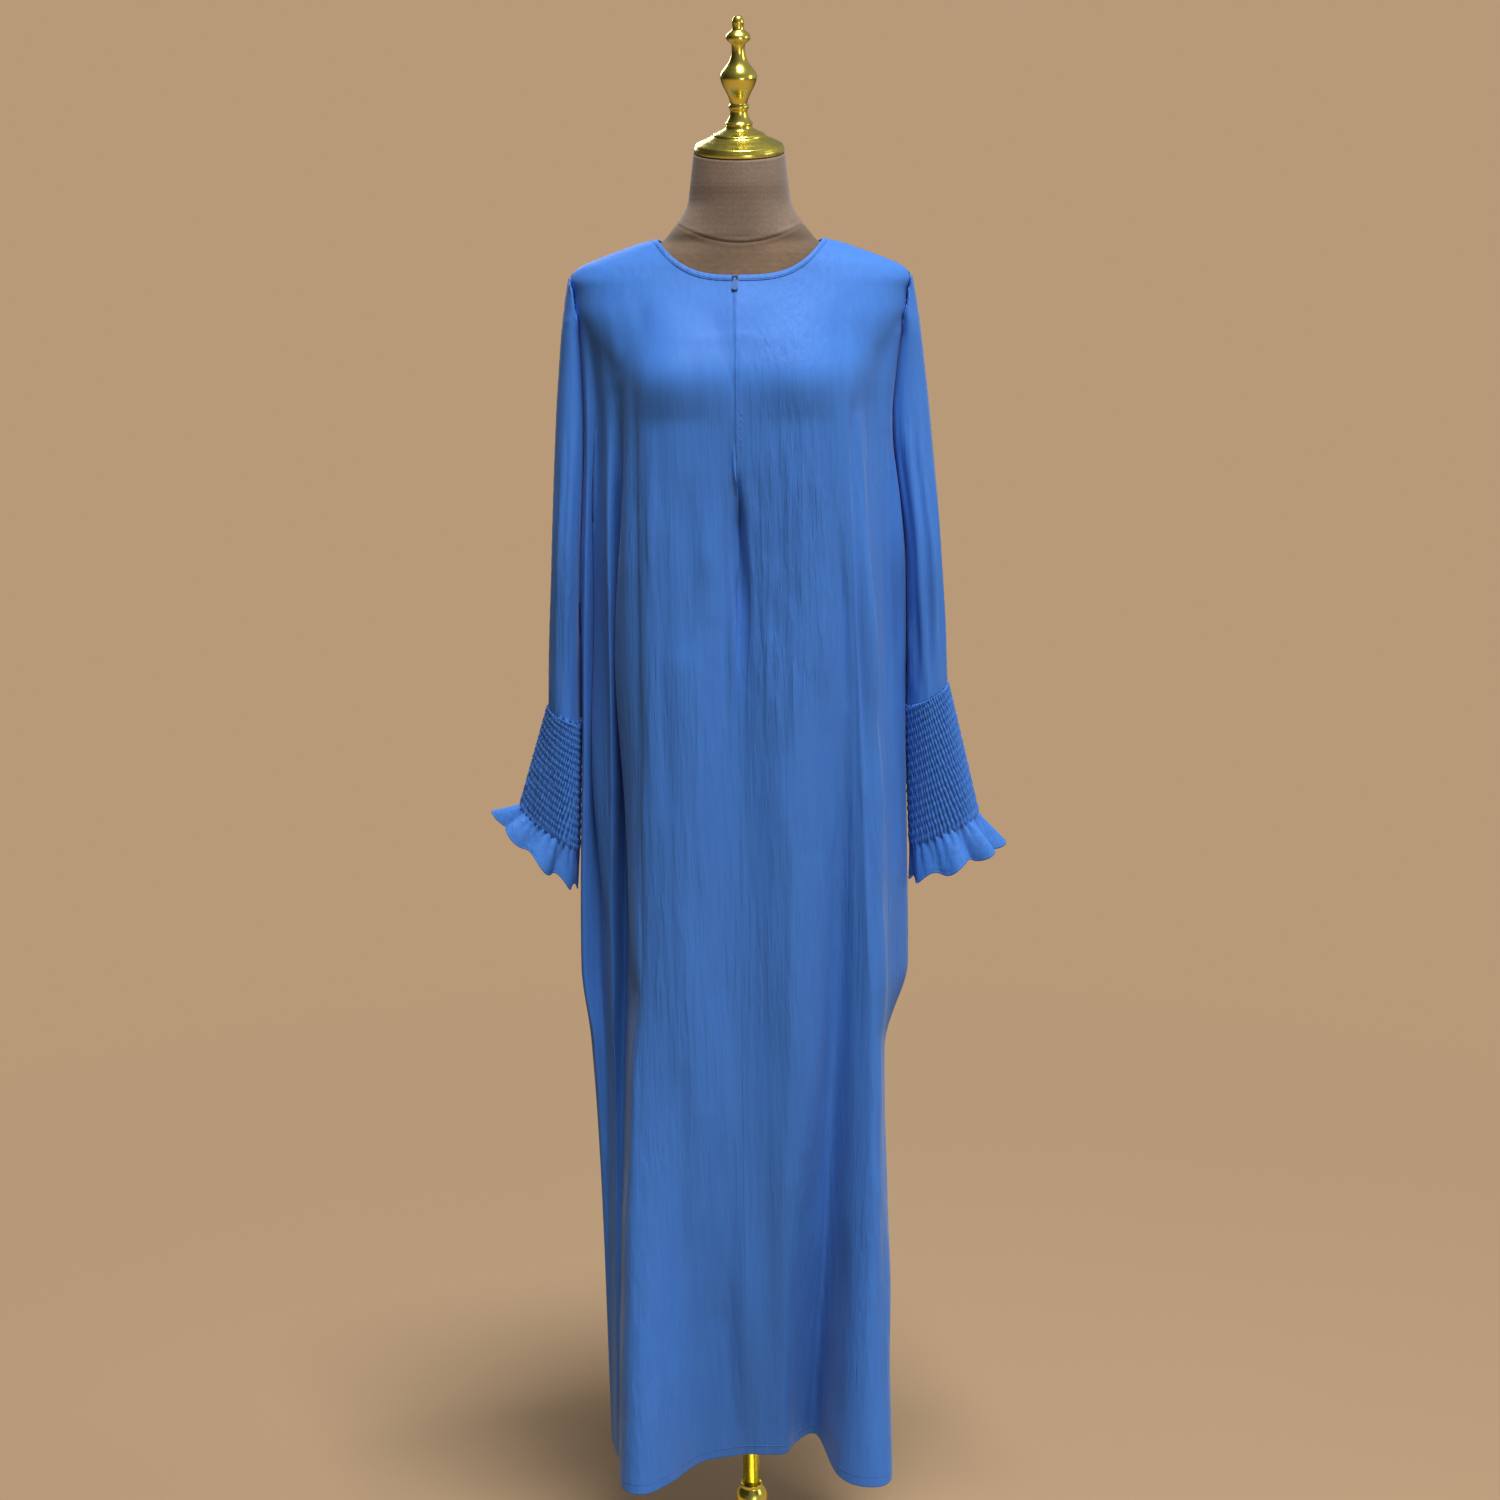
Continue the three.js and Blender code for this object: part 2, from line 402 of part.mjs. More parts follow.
function robe() {
  const parts = [];
  const slopes = Object.fromEntries(['left', 'right'].map((k) => { const c = CUFFS[k].top; return [k, CUFFS[k].side * (c[3] - c[1]) / (c[2] - c[0])]; }));
  // Fronts: the middle line is the centre-front seam, closed by the zip above
  // and sunk into the inverted pleat below it.
  const cfY = curve([1495, 1430, 1380, 1340, 1290, 1262, 1225, 1170, 1010, 700, 350, 115], [-66, -100, -121, -121.5, -119, -111, -101, -104, -114, -119, -119, -98]);
  const fronts = {};
  for (const name of ['left', 'right']) {
    const side = name === 'left' ? 1 : -1;
    const middle = { top: side * CF_X + 0.5 * SEAM, x: () => side * CF_X + 0.5 * SEAM, y: cfY };
    const split = name === 'left' ? [2, 1, 2, 3, 1, 2, 2, 2, 1] : [2, 1, 2, 3, 2, 1, 2, 1, 2, 1];
    fronts[name] = half(name, -1, FRONT[name], middle);
    Object.assign(fronts[name], grid(fronts[name], split));
    parts.push(wall(`front_${name}`, fronts[name].P, fronts[name].kinds, CREPE(), CLOTH, slopes));
  }
  // Back, in one piece from overarm seam to overarm seam.
  const cbY = curve(LEVELS, [104, 106.8, 109, 113, 114, 117, 118, 116]);
  const backs = ['right', 'left'].map((name) => {
    const h = half(name, 1, BACK, { top: 0, x: () => 0, y: cbY });
    return Object.assign(h, grid(h, [1, 1, 3, 2, 2, 1, 1]));
  });
  parts.push(wall('back', [...backs[0].P.slice(1).reverse(), ...backs[1].P],
    [...backs[0].kinds.slice(1).reverse(), 'body', ...backs[1].kinds.slice(1)], CREPE(), CLOTH, slopes));

  // Neck binding: a narrow folded strip on the raw neck edge, open at the zip.
  // Each of its sections stands on one point of the panels' edge.
  const edge = (h) => h.P.map((col) => col[0]).filter((p) => Math.abs(p[0]) < NECK_HALF + BIND + 0.01);
  const open = 3.4;
  const stand = (p, face) => {
    const t = p[0] / (NECK_HALF + BIND), corner = Math.abs(t) > 0.999, w = Math.abs(t) ** 6;
    const ax = t * NECK_HALF, air = REST + CLOTH + (face < 0 ? 2.1 * Math.exp(-(((ax - CF_X) / 17) ** 2)) : 0);
    const az = neckline(ax, face, 0);
    const a = [ax, corner ? 0 : face * skin(ax, az, face, air), az], b = corner ? [p[0], 0, p[2]] : p;
    const d = [0, 1, 2].map((k) => a[k] - b[k]), l = hypot(...d);
    const low = b.map((v, k) => v + d[k] / l * SEAM);
    const out = (q, e) => [q[0], q[1] + face * e * (1 - w), q[2] + e * w];
    const mid = a.map((v, k) => (v + low[k]) / 2);
    return [out(a, 0), out(mid, 0.35), out(low, 0), out(low, -1.3), out(mid, -1.3), out(a, -1.3)];
  };
  const near = (list) => list.filter((p) => Math.abs(p[0] - CF_X) > open + 1);
  const at = (h, x) => {                       // the strip's end beside the zip
    const i = h.P.findIndex((col) => Math.abs(col[0][0] - CF_X) > Math.abs(x - CF_X)), A = h.P[i - 1][0], B = h.P[i][0];
    return A.map((v, k) => mix(v, B[k], (x - A[0]) / (B[0] - A[0])));
  };
  const rings = [at(fronts.right, CF_X - open), ...near(edge(fronts.right))].map((p) => stand(p, -1));
  rings.push(...[...edge(backs[0]).slice(0, -1).reverse(), ...edge(backs[1]).slice(1, -1)].map((p) => stand(p, 1)));
  rings.push(...[at(fronts.left, CF_X + open), ...near(edge(fronts.left))].reverse().map((p) => stand(p, -1)));
  parts.push(loft('neck_binding', rings, CREPE()));

  // Zip: tape and closed chain behind the centre-front seam.
  const foot = 1312, tape = [];
  const strand = (P, c, w) => {                // a line of the tape between two columns of the panel
    const line = P[c].map((p, r) => p.map((v, k) => mix(v, P[c + 1][r][k], w))), end = line.findIndex((p) => p[2] < foot);
    const t = (line[end - 1][2] - foot) / (line[end - 1][2] - line[end][2]);
    return [...line.slice(0, end), line[end - 1].map((v, k) => mix(v, line[end][k], t))];
  };
  const L = fronts.left.P, R = fronts.right.P;
  const lanes = [strand(R, 1, 0.7), strand(R, 1, 0), strand(R, 0, 0.03), strand(L, 1, 0), strand(L, 1, 0.7)];
  for (const k of lanes[0].keys()) {
    const row = lanes.map((c) => c[k].map((v, i) => (i === 2 && k === 0 ? v - 2 : v)));
    tape.push([...row.map((p) => [p[0], p[1] + CLOTH * 1.16 + 0.85, p[2]]), ...row.map((p) => [p[0], p[1] + CLOTH * 1.16 + 1.65, p[2]]).reverse()]);
  }
  parts.push(loft('zip_tape', tape, ZIP_CLOTH()));
  parts.push(...zipHead(fronts.left));
  return parts;
}

const cut = (geometry) => {
  geometry.deleteAttribute('normal');
  geometry.deleteAttribute('uv');
  const g = mergeVertices(geometry, 1e-4);
  return new wasm.Manifold(new wasm.Mesh({ numProp: 3, vertProperties: g.attributes.position.array, triVerts: new Uint32Array(g.index.array) }));
};
const block = (w, d, h, x, y, z) => cut(new THREE.BoxGeometry(w, d, h).translate(x, y, z));
const rod = (r, l, n) => cut(new THREE.CylinderGeometry(r, r, l, n).rotateZ(Math.PI / 2));
function made(name, manifold, mat) {
  const m = manifold.getMesh(), g = new THREE.BufferGeometry();
  g.setAttribute('position', new THREE.Float32BufferAttribute(m.vertProperties, 3));
  g.setIndex([...m.triVerts]);
  g.computeVertexNormals();
  const mesh = new THREE.Mesh(g, mat);
  mesh.name = name;
  return mesh;
}

// Slider with its crossbar in the gap of the binding, and the tear-drop pull
// that hangs from the crossbar on the slope of the chest.
function zipHead(front) {
  const hi = front.at(0, 1489), lo = front.at(0, 1474), slope = Math.atan2(hi[1] - lo[1], hi[2] - lo[2]);
  const top = [CF_X, hi[1] + (1492.6 - 1489) * Math.tan(slope), 1492.6], off = 2.6;
  const pin = [CF_X, top[1] - off * Math.cos(slope), top[2] + off * Math.sin(slope)];
  const slider = block(5.2, 2.6, 5.2, 0, 3.6, -0.2)
    .add(block(0.7, 4.4, 2.4, 2.25, 0.4, 0)).add(block(0.7, 4.4, 2.4, -2.25, 0.4, 0)).add(rod(0.6, 4.5, 12));
  const drop = new THREE.Shape();
  drop.moveTo(-1.2, 0);
  drop.bezierCurveTo(-1.2, -6, -3.5, -9, -3.5, -12.8);
  drop.absarc(0, -12.8, 3.5, Math.PI, 2 * Math.PI, false);
  drop.bezierCurveTo(3.5, -9, 1.2, -6, 1.2, 0);
  const plate = cut(new THREE.ExtrudeGeometry(drop, { depth: 1, bevelEnabled: false, curveSegments: 8 }).translate(0, 0, -0.5).rotateX(Math.PI / 2));
  const pull = plate.add(rod(1.6, 3.2, 16)).subtract(rod(1.0, 8, 16));
  const out = [made('zip_slider', slider, ZIP_METAL()), made('zip_pull', pull, ZIP_METAL())];
  for (const m of out) {
    m.position.set(...pin);
    m.rotation.x = -slope;
  }
  return out;
}

function cuffs() {
  const parts = [], n = 48, waves = 8, rows = 12;
  for (const name of ['left', 'right']) {
    const c = CUFFS[name], side = c.side, rings = [];
    const ring = (t, u, lift, fall) => Array.from({ length: n }, (_, i) => {
      // t runs down the smocking, u down the ruffle; lift(i) moves a point out.
      const a = 2 * Math.PI * i / n;
      const A = ellipse(c.top, side, a), B = ellipse(c.end, side, a), C = ellipse(c.edge, side, a);
      const s = t ** 1.1;
      let p = A.map((v, k) => mix(mix(v, B[k], s), C[k], u));
      const mid = [0, 1, 2].map((k) => {
        const m = (q) => (k === 1 ? 0 : k === 0 ? side * (q[0] + q[2]) / 2 : (q[1] + q[3]) / 2);
        return mix(mix(m(c.top), m(c.end), s), m(c.edge), u);
      });
      const out = p.map((v, k) => v - mid[k]), l = hypot(...out);
      const d = lift(i, a);
      p = p.map((v, k) => v + out[k] / l * d);
      p[2] += fall(i, a);
      return p;
    });
    const none = () => 0;
    const smock = (r) => (i) => ((i + r) % 2 === 0 ? 0.9 : 0) + ((i % 6 === 0) ? 0.4 : 0);
    const gap = () => -SEAM;
    for (let r = 0; r <= rows; r++) rings.push(ring(r / rows, 0, r === 0 || r === rows ? () => 0 : smock(r), gap));
    const wave = (u, extra) => (i, a) => (6.5 * Math.cos(waves * a + 0.7) + 1.5 * Math.cos(4 * a)) * u ** 0.8 * (0.22 + 0.78 * Math.sin(a / 2) ** 2) + extra;
    const dip = (u) => (i, a) => 3.5 * Math.sin(waves * a + 0.2) * u - SEAM;
    const flounce = [0.22, 0.55, 1];
    for (const u of flounce) rings.push(ring(1, u, wave(u, 0), dip(u)));
    for (const u of [...flounce].reverse()) rings.push(ring(1, u, wave(u, -CUFF_WALL), dip(u)));
    for (const t of [1, 0.5, 0]) rings.push(ring(t, 0, () => -CUFF_WALL, gap));
    parts.push(loft(`cuff_${name}`, rings, CREPE(), { closed: true }));
  }
  return parts;
}

const object = new THREE.Group();
object.name = 'jilbab_on_dress_form';
const raised = new THREE.Group();
raised.position.z = LIFT;
raised.add(...robe(), ...cuffs());
object.add(...dressForm(), raised);
export default object;
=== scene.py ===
import math

import bmesh
import bpy
import numpy as np
from mathutils import Matrix, Vector


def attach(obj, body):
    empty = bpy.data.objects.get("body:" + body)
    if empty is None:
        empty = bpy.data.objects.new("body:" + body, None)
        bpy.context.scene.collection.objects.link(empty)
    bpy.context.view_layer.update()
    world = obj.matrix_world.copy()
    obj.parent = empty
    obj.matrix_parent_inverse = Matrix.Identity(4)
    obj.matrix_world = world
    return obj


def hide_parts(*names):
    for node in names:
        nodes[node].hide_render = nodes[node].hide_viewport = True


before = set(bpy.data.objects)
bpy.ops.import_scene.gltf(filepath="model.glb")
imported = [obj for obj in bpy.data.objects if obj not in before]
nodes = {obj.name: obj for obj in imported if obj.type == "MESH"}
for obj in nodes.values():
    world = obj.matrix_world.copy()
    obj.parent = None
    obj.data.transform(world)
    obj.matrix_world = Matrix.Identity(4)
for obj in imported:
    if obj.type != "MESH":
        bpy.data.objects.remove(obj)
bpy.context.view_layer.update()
scene = bpy.context.scene

# ------------------------------------------------------------------ camera
# A long lens at the height of the robe's neck, looking a little down and
# leaning half a degree. The foot of the stand stays under the picture.
eye, look_down, lean = Vector((0.006, -2.54, 1.61)), math.radians(12.1), math.radians(0.5)
ahead = Vector((0, math.cos(look_down), -math.sin(look_down)))
across, upward = Vector((1, 0, 0)), Vector((0, math.sin(look_down), math.cos(look_down)))
camera = bpy.data.objects.new("camera", bpy.data.cameras.new("camera"))
camera.data.sensor_width, camera.data.lens = 36.0, 53.74
camera.data.clip_start, camera.data.clip_end = 0.05, 60
turned_across = across * math.cos(lean) - upward * math.sin(lean)
turned_upward = upward * math.cos(lean) + across * math.sin(lean)
facing = Matrix((turned_across, turned_upward, -ahead)).transposed().to_4x4()
camera.matrix_world = Matrix.Translation(eye) @ facing
scene.collection.objects.link(camera)
scene.camera = camera
scene.view_settings.view_transform = "Standard"

# ------------------------------------------------------------- dress form
# A limbless form: a hard foam torso under a stretched linen cover, which is
# seamed round the root of the neck. It carries the robe on its shoulders.
LIFT = 110.0                  # height of the stand's foot under the dressed form, mm
# Below its neck seam the cover takes a darker colour: painted shade of the shoulders that lie under the
# robe's neckline.
LINEN = {
    "above the seam": (0.20, 0.140, 0.100),
    "below the seam, painted shade": (0.125, 0.078, 0.045),
    "thread": (0.10, 0.065, 0.04),
}
# Its sections from the neck down: half width, depth in front and behind, how full
# the oval is (2 for an ellipse), and the y of its middle.
FORM_Z = [1625, 1594, 1573, 1551, 1541, 1531, 1516, 1503, 1488,
          1460, 1430, 1385, 1340, 1290, 1180, 1080, 985, 890]
FORM = {
    "half": [50, 54, 57, 69, 77.5, 86.4, 142, 174, 183, 181, 172, 152, 141, 130, 116, 130, 139, 132],
    "front": [48, 52, 54, 57, 58, 57.5, 61, 65, 71, 86, 99, 114, 106, 92, 80, 86, 90, 84],
    "back": [49, 53, 56, 62, 66, 69.5, 77, 84, 90, 96, 100, 101, 97, 90, 83, 92, 97, 92],
    "power": [2, 2, 2, 2, 2, 1.9, 1.8, 1.8, 1.9, 2, 2.1, 2.2, 2.2, 2.2, 2.1, 2.1, 2.1, 2.1],
    "mid": [-13, -9, -5, -1, 0, 0, 0, 0, 0, 0, 0, 0, 0, 0, 0, 0, 0, 0],
}


def hermite(t, a, b, slope_a, slope_b):
    """Cubic from a to b with the given slopes at its ends."""
    return ((2 * t**3 - 3 * t**2 + 1) * a + (t**3 - 2 * t**2 + t) * slope_a
            + (3 * t**2 - 2 * t**3) * b + (t**3 - t**2) * slope_b)


def curve(xs, ys):
    """Monotone cubic through the points (xs, ys), for arrays."""
    order = np.argsort(xs)
    x, y = np.array(xs, float)[order], np.array(ys, float)[order]
    s = np.diff(y) / np.diff(x)
    m = np.r_[s[0], np.zeros(len(x) - 2), s[-1]]
    same = s[:-1] * s[1:] > 0
    m[1:-1][same] = 2 * s[:-1][same] * s[1:][same] / (s[:-1] + s[1:])[same]

    def at(v):
        v = np.clip(np.asarray(v, float), x[0], x[-1])
        i = np.clip(np.searchsorted(x, v, side="right") - 1, 0, len(x) - 2)
        h = x[i + 1] - x[i]
        return hermite((v - x[i]) / h, y[i], y[i + 1], h * m[i], h * m[i + 1])
    return at


def mix(a, b, t):
    return a + (b - a) * t


def smooth(a, b, v):
    """0 at a and 1 at b, level at both ends."""
    t = np.clip((np.asarray(v, float) - a) / (b - a), 0, 1)
    return t * t * (3 - 2 * t)


def piece(name, points, faces, material, body="stand", uv=None, marks=None):
    """A mesh object from points in millimetres, body and maps."""
    mesh = bpy.data.meshes.new(name)
    mesh.from_pydata((np.asarray(points) / 1000).tolist(), [], faces)
    mesh.materials.append(material)
    if uv is not None:
        corner = np.zeros(len(mesh.loops), np.int32)
        mesh.loops.foreach_get("vertex_index", corner)
        mesh.uv_layers.new(name="cloth").data.foreach_set("uv", np.asarray(uv, np.float32)[corner].ravel())
    for key, values in (marks or {}).items():
        mesh.attributes.new(key, "FLOAT", "POINT").data.foreach_set("value", np.asarray(values, np.float32))
    mesh.shade_smooth()
    made = bpy.data.objects.new(name, mesh)
    scene.collection.objects.link(made)
    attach(made, body)
    return made


def net(rows, count):
    """Quads between successive closed rows of `count` points each."""
    return [(r * count + i, r * count + (i + 1) % count,
             (r + 1) * count + (i + 1) % count, (r + 1) * count + i)
            for r in range(rows - 1) for i in range(count)]


def feed(node, inputs):
    """Links each input of a node to the socket given for it, or sets it to the value."""
    for key, value in inputs.items():
        if isinstance(value, bpy.types.NodeSocket):
            node.id_data.links.new(value, node.inputs[key])
        else:
            node.inputs[key].default_value = value


def adder(tree):
    """A helper that adds a node to the tree and feeds it."""
    def add(kind, inputs=None, **settings):
        node = tree.nodes.new(kind)
        for key, value in settings.items():
            setattr(node, key, value)
        feed(node, inputs or {})
        return node
    return add


def shader(name):
    """A new material with its Principled BSDF and the helper that adds nodes."""
    material = bpy.data.materials.new(name)
    material.use_nodes = True
    return material, material.node_tree.nodes["Principled BSDF"], adder(material.node_tree)


def between(add, factor, low, high):
    """The colour that a factor mixes from two colours."""
    mixer = add("ShaderNodeMix", {"Factor": factor, "A": (*low, 1), "B": (*high, 1)}, data_type="RGBA")
    return mixer.outputs["Result"]


def ranged(add, value, spread, onto=(0, 1), shape="LINEAR"):
    """A value taken from one range onto another."""
    limits = {"From Min": spread[0], "From Max": spread[1], "To Min": onto[0], "To Max": onto[1]}
    return add("ShaderNodeMapRange", {"Value": value, **limits}, interpolation_type=shape).outputs[0]


def worked_out(add, operation, *values):
    """The result of a sum on sockets and numbers."""
    return add("ShaderNodeMath", dict(enumerate(values)), operation=operation).outputs[0]


def noise(add, where, scale, detail, **more):
    """Cloudy noise from 0 to 1."""
    inputs = {"Vector": where, "Scale": scale, "Detail": detail, **more}
    return add("ShaderNodeTexNoise", inputs).outputs["Fac"]


def bump(add, height, distance, strength):
    """A normal that a height in metres tilts."""
    raised = {"Height": height, "Distance": distance, "Strength": strength}
    return add("ShaderNodeBump", raised).outputs["Normal"]


def place_of(add):
    """Where a point is in its own piece."""
    return add("ShaderNodeTexCoord").outputs["Object"]


def group_of(kind, name, inputs, outputs):
    """A new node group with named sockets, and the helper inside it."""
    group = bpy.data.node_groups.new(name, kind)
    for label, socket_type, value in inputs:
        socket = group.interface.new_socket(label, in_out="INPUT", socket_type=socket_type)
        if value is not None:
            socket.default_value = value
    for label, socket_type in outputs:
        group.interface.new_socket(label, in_out="OUTPUT", socket_type=socket_type)
    enter, leave = group.nodes.new("NodeGroupInput"), group.nodes.new("NodeGroupOutput")
    return group, enter.outputs, leave, adder(group)


# Plain weave: two crossing sets of threads with uneven slubs.
NUMBER = "NodeSocketFloat"
plain_weave, given, result, add = group_of(
    "ShaderNodeTree", "plain weave",
    [("Vector", "NodeSocketVector", None), ("Threads per metre", NUMBER, 900.0), ("Slub", NUMBER, 0.5)],
    [("Height", NUMBER), ("Shade", NUMBER)])
slub = noise(add, given["Vector"], 260.0, 3.0)
rate = worked_out(add, "MULTIPLY", given["Threads per metre"], 0.05)
threads = []
for direction in ("X", "Y"):
    band = {"Vector": given["Vector"], "Scale": rate, "Distortion": 0.6, "Detail": 1.0}
    wave = add("ShaderNodeTexWave", band, wave_type="BANDS", bands_direction=direction)
    threads.append(wave.outputs["Fac"])
crossed = worked_out(add, "MAXIMUM", *threads)
uneven = worked_out(add, "MULTIPLY", slub, given["Slub"])
feed(result, {"Height": worked_out(add, "ADD", crossed, uneven), "Shade": slub})

linen, bsdf, add = shader("linen cover")
seat = add("ShaderNodeUVMap", uv_map="cloth")
weave = add("ShaderNodeGroup", node_tree=plain_weave)
feed(weave, {"Vector": seat.outputs["UV"], "Threads per metre": 950.0, "Slub": 0.8})
side = add("ShaderNodeAttribute", attribute_name="above")
groove = add("ShaderNodeAttribute", attribute_name="seam")
# The linen is painted darker below the seam, as shade.
seam_shaded_linen = between(add, side.outputs["Fac"], LINEN["below the seam, painted shade"], LINEN["above the seam"])
aged = ranged(add, noise(add, place_of(add), 16.0, 4.0), (0.35, 0.65), (0.84, 1.08))
flecks = ranged(add, weave.outputs["Shade"], (0.3, 0.7), (0.86, 1.1))
both = worked_out(add, "MULTIPLY", aged, flecks)
toned = add("ShaderNodeVectorMath", {0: seam_shaded_linen, "Scale": both}, operation="SCALE")
shaded = add("ShaderNodeMix", {"Factor": groove.outputs["Fac"], "A": toned.outputs[0],
                               "B": (*LINEN["thread"], 1)}, data_type="RGBA")
feed(bsdf, {"Base Color": shaded.outputs["Result"], "Roughness": 0.92, "Sheen Weight": 0.15,
            "Normal": bump(add, weave.outputs["Height"], distance=0.00018, strength=0.4)})

form_at = {key: curve(FORM_Z, row) for key, row in FORM.items()}
CAP_TILT = math.radians(12)   # the neck's top and all on it lean forward


def neck_seam(x):
    """Height of the cover's seam round the root of the neck."""
    return 1529 + 19.5 * np.minimum(np.abs(x) / 68, 1.25) ** 2


around = 144
levels = np.r_[np.linspace(888, 1430, 40), np.linspace(1436, 1516, 20),
               np.arange(1517, 1562, 0.8), np.linspace(1563, 1625, 26)]
angle = 2 * np.pi * (np.arange(around) + 0.5) / around
c, s = np.cos(angle), np.sin(angle)
skin_points, above, seam_mark, lengths = [], [], [], []
for z in levels:
    p, deep = 2 / form_at["power"](z), np.where(s < 0, form_at["front"](z), form_at["back"](z))
    x = np.sign(c) * np.abs(c) ** p * form_at["half"](z)
    y = form_at["mid"](z) + np.sign(s) * np.abs(s) ** p * deep
    off = z - neck_seam(x)
    # The seam pulls the cover in, with small puckers on both sides of it.
    puckers = 1 + 0.8 * np.sin(angle * 61 + 1.4 * np.sin(angle * 7))
    draw = -0.8 * np.exp(-(off / 1.1) ** 2) + 0.28 * np.exp(-((np.abs(off) - 3.4) / 1.8) ** 2) * puckers
    out = np.hypot(x, y)
    x, y = x * (1 + draw / out), y * (1 + draw / out)
    slant = np.tan(CAP_TILT) * smooth(1575, 1625, z)
    skin_points.append(np.c_[x, y, np.full(around, z) + slant * (y - form_at["mid"](z)) + LIFT])
    # The mask of which side of the seam a point lies on; below it the linen gets its painted shade.
    above.append(smooth(-0.6, 0.6, off))
    seam_mark.append(0.75 * np.exp(-(off / 0.9) ** 2))
    lengths.append(np.c_[angle * 0.07, np.full(around, z / 1000)])
points = np.concatenate(skin_points)
top = len(points)
points = np.r_[points, [skin_points[0].mean(0)], [skin_points[-1].mean(0)]]
faces = net(len(levels), around)
faces += [(top, (i + 1) % around, i) for i in range(around)]
faces += [(top + 1, top - around + i, top - around + (i + 1) % around) for i in range(around)]
uv = np.r_[np.concatenate(lengths), [[0, 0.888], [0, 1.625]]]
marks = {"above": np.r_[np.concatenate(above), 0, 1], "seam": np.r_[np.concatenate(seam_mark), 0, 0]}
torso = piece("linen_torso", points, faces, linen, uv=uv, marks=marks)
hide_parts("form_torso")

# --------------------------------------------------- gilt cap, finial, stand
# Turned pieces with a bright electroplated finish: a stepped neck cap, a
# finial screwed into it, and below the torso a tube, a socket and a round foot.
GILT = {"bright": (0.90, 0.80, 0.17), "worn": (0.80, 0.67, 0.10)}
gilt, bsdf, add = shader("gilt plate")
spot = place_of(add)
haze = noise(add, spot, 55.0, 5.0, Roughness=0.6)
orange_peel = noise(add, spot, 320.0, 2.0)
feed(bsdf, {"Base Color": between(add, haze, GILT["bright"], GILT["worn"]), "Metallic": 1.0,
            "Roughness": ranged(add, haze, (0.3, 0.75), (0.15, 0.33)),
            "Normal": bump(add, orange_peel, distance=0.0001, strength=0.35)})


def turned(name, profile, node, at=(0, 0, 0), lean=0.0, around=72, hollow=False):
    """A turned piece from [radius, height] rows, leaned forward about X at `at`."""
    rows = list(profile) if hollow else [(0.0, profile[0][1]), *profile, (0.0, profile[-1][1])]
    points, faces, rings = [], [], []
    for radius, height in rows:
        if radius < 1e-6:
            rings.append([len(points)] * around)
            points.append((0, 0, height))
            continue
        rings.append(list(range(len(points), len(points) + around)))
        turns = [2 * math.pi * i / around for i in range(around)]
        points += [(radius * math.cos(a), radius * math.sin(a), height) for a in turns]
    for low, high in zip(rings, rings[1:] + ([rings[0]] if hollow else [])):
        for i in range(around):
            j = (i + 1) % around
            corners = list(dict.fromkeys((low[i], low[j], high[j], high[i])))
            if len(corners) > 2:
                faces.append(tuple(corners))
    turn = np.array(Matrix.Rotation(lean, 3, "X"))
    made = piece(name, np.array(points) @ turn.T + np.array(at), faces, gilt)
    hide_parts(node)


def eased(profile, steps=4):
    """The same profile with a smooth curve between its rows."""
    length = np.r_[0, np.cumsum([math.dist(a, b) for a, b in zip(profile, profile[1:])])]
    fine = np.unique(np.concatenate([np.linspace(a, b, steps + 1) for a, b in zip(length, length[1:])]))
    r, h = curve(length, [p[0] for p in profile]), curve(length, [p[1] for p in profile])
    return list(zip(r(fine), h(fine)))


SEAM = 0.3                    # air between pieces, mm
neck_top = (0, float(form_at["mid"](1625)), LIFT + 1625)


def along_neck(h):
    """The place at a height above the neck's top, along its lean."""
    return (neck_top[0], neck_top[1] - h * math.sin(CAP_TILT), neck_top[2] + h * math.cos(CAP_TILT))


# Profiles as radius and height. The cap is turned sharp from one step to the next.
CAP_STEPS = [
    [(48.6, 0.9), (49.4, 2.4), (49.4, 4.4), (48.6, 6.4)],
    [(48.2, 7.4), (47.2, 9.2), (46, 10)],
    [(45.2, 10.4), (42, 12), (38, 14), (34, 15.5), (30.6, 17.4)],
    [(28.6, 18.2), (28.2, 19.6), (27.4, 20.6)],
    [(25.8, 21.2), (22, 22.5), (18.6, 24.2), (16, 25.6), (14.8, 27.2), (14.4, 29)],
]
FINIAL = [
    (14.2, 0), (15, 1.1), (15, 2.4), (13.4, 4), (11.6, 7), (10, 11), (9.4, 15.4), (9.9, 16.8), (10.9, 18.2),
    (11.1, 20), (10.4, 21.8), (9.5, 22.8), (9.8, 25), (10.8, 28.5), (13.6, 34.5), (17.6, 42), (19.6, 47.5),
    (20.1, 50.5), (19.4, 54), (15.2, 60), (11.2, 65), (9, 69.5), (7.4, 76), (7.2, 80), (7.6, 84.5),
    (9.4, 86.2), (11.6, 88), (13.2, 90.6), (13.2, 92.4), (12.0, 95), (9, 97.6), (6.9, 99.2), (6.3, 102),
    (6.4, 105), (6.6, 107), (6.0, 109.6), (4.9, 111.7), (3.2, 113.4), (1.4, 114),
]
SOCKET = [
    (30, 13.2), (29.2, 14.8), (24.5, 17), (20.4, 21), (17.4, 26), (15.8, 34), (14.6, 60), (14.4, 92),
    (15.2, 98), (17.4, 103), (19.2, 108), (19.5, 112), (19.2, 116), (17.4, 121), (14.6, 125.4),
    (13.2, 128), (13.2, 131.2),
]
FOOT = [
    (146, 0), (148.6, 0.6), (150, 2.4), (150, 6), (149, 7.4),
    (146, 8.6), (140, 9.3), (120, 10), (80, 11.2), (40, 12),
]
POLE, POLE_FOOT, POLE_TOP = 10.5, 12.3, LIFT + 883.7    # the pole's radius and its two ends
CAP_HIGH = 29
on_cap = along_neck(SEAM + CAP_HIGH + SEAM)

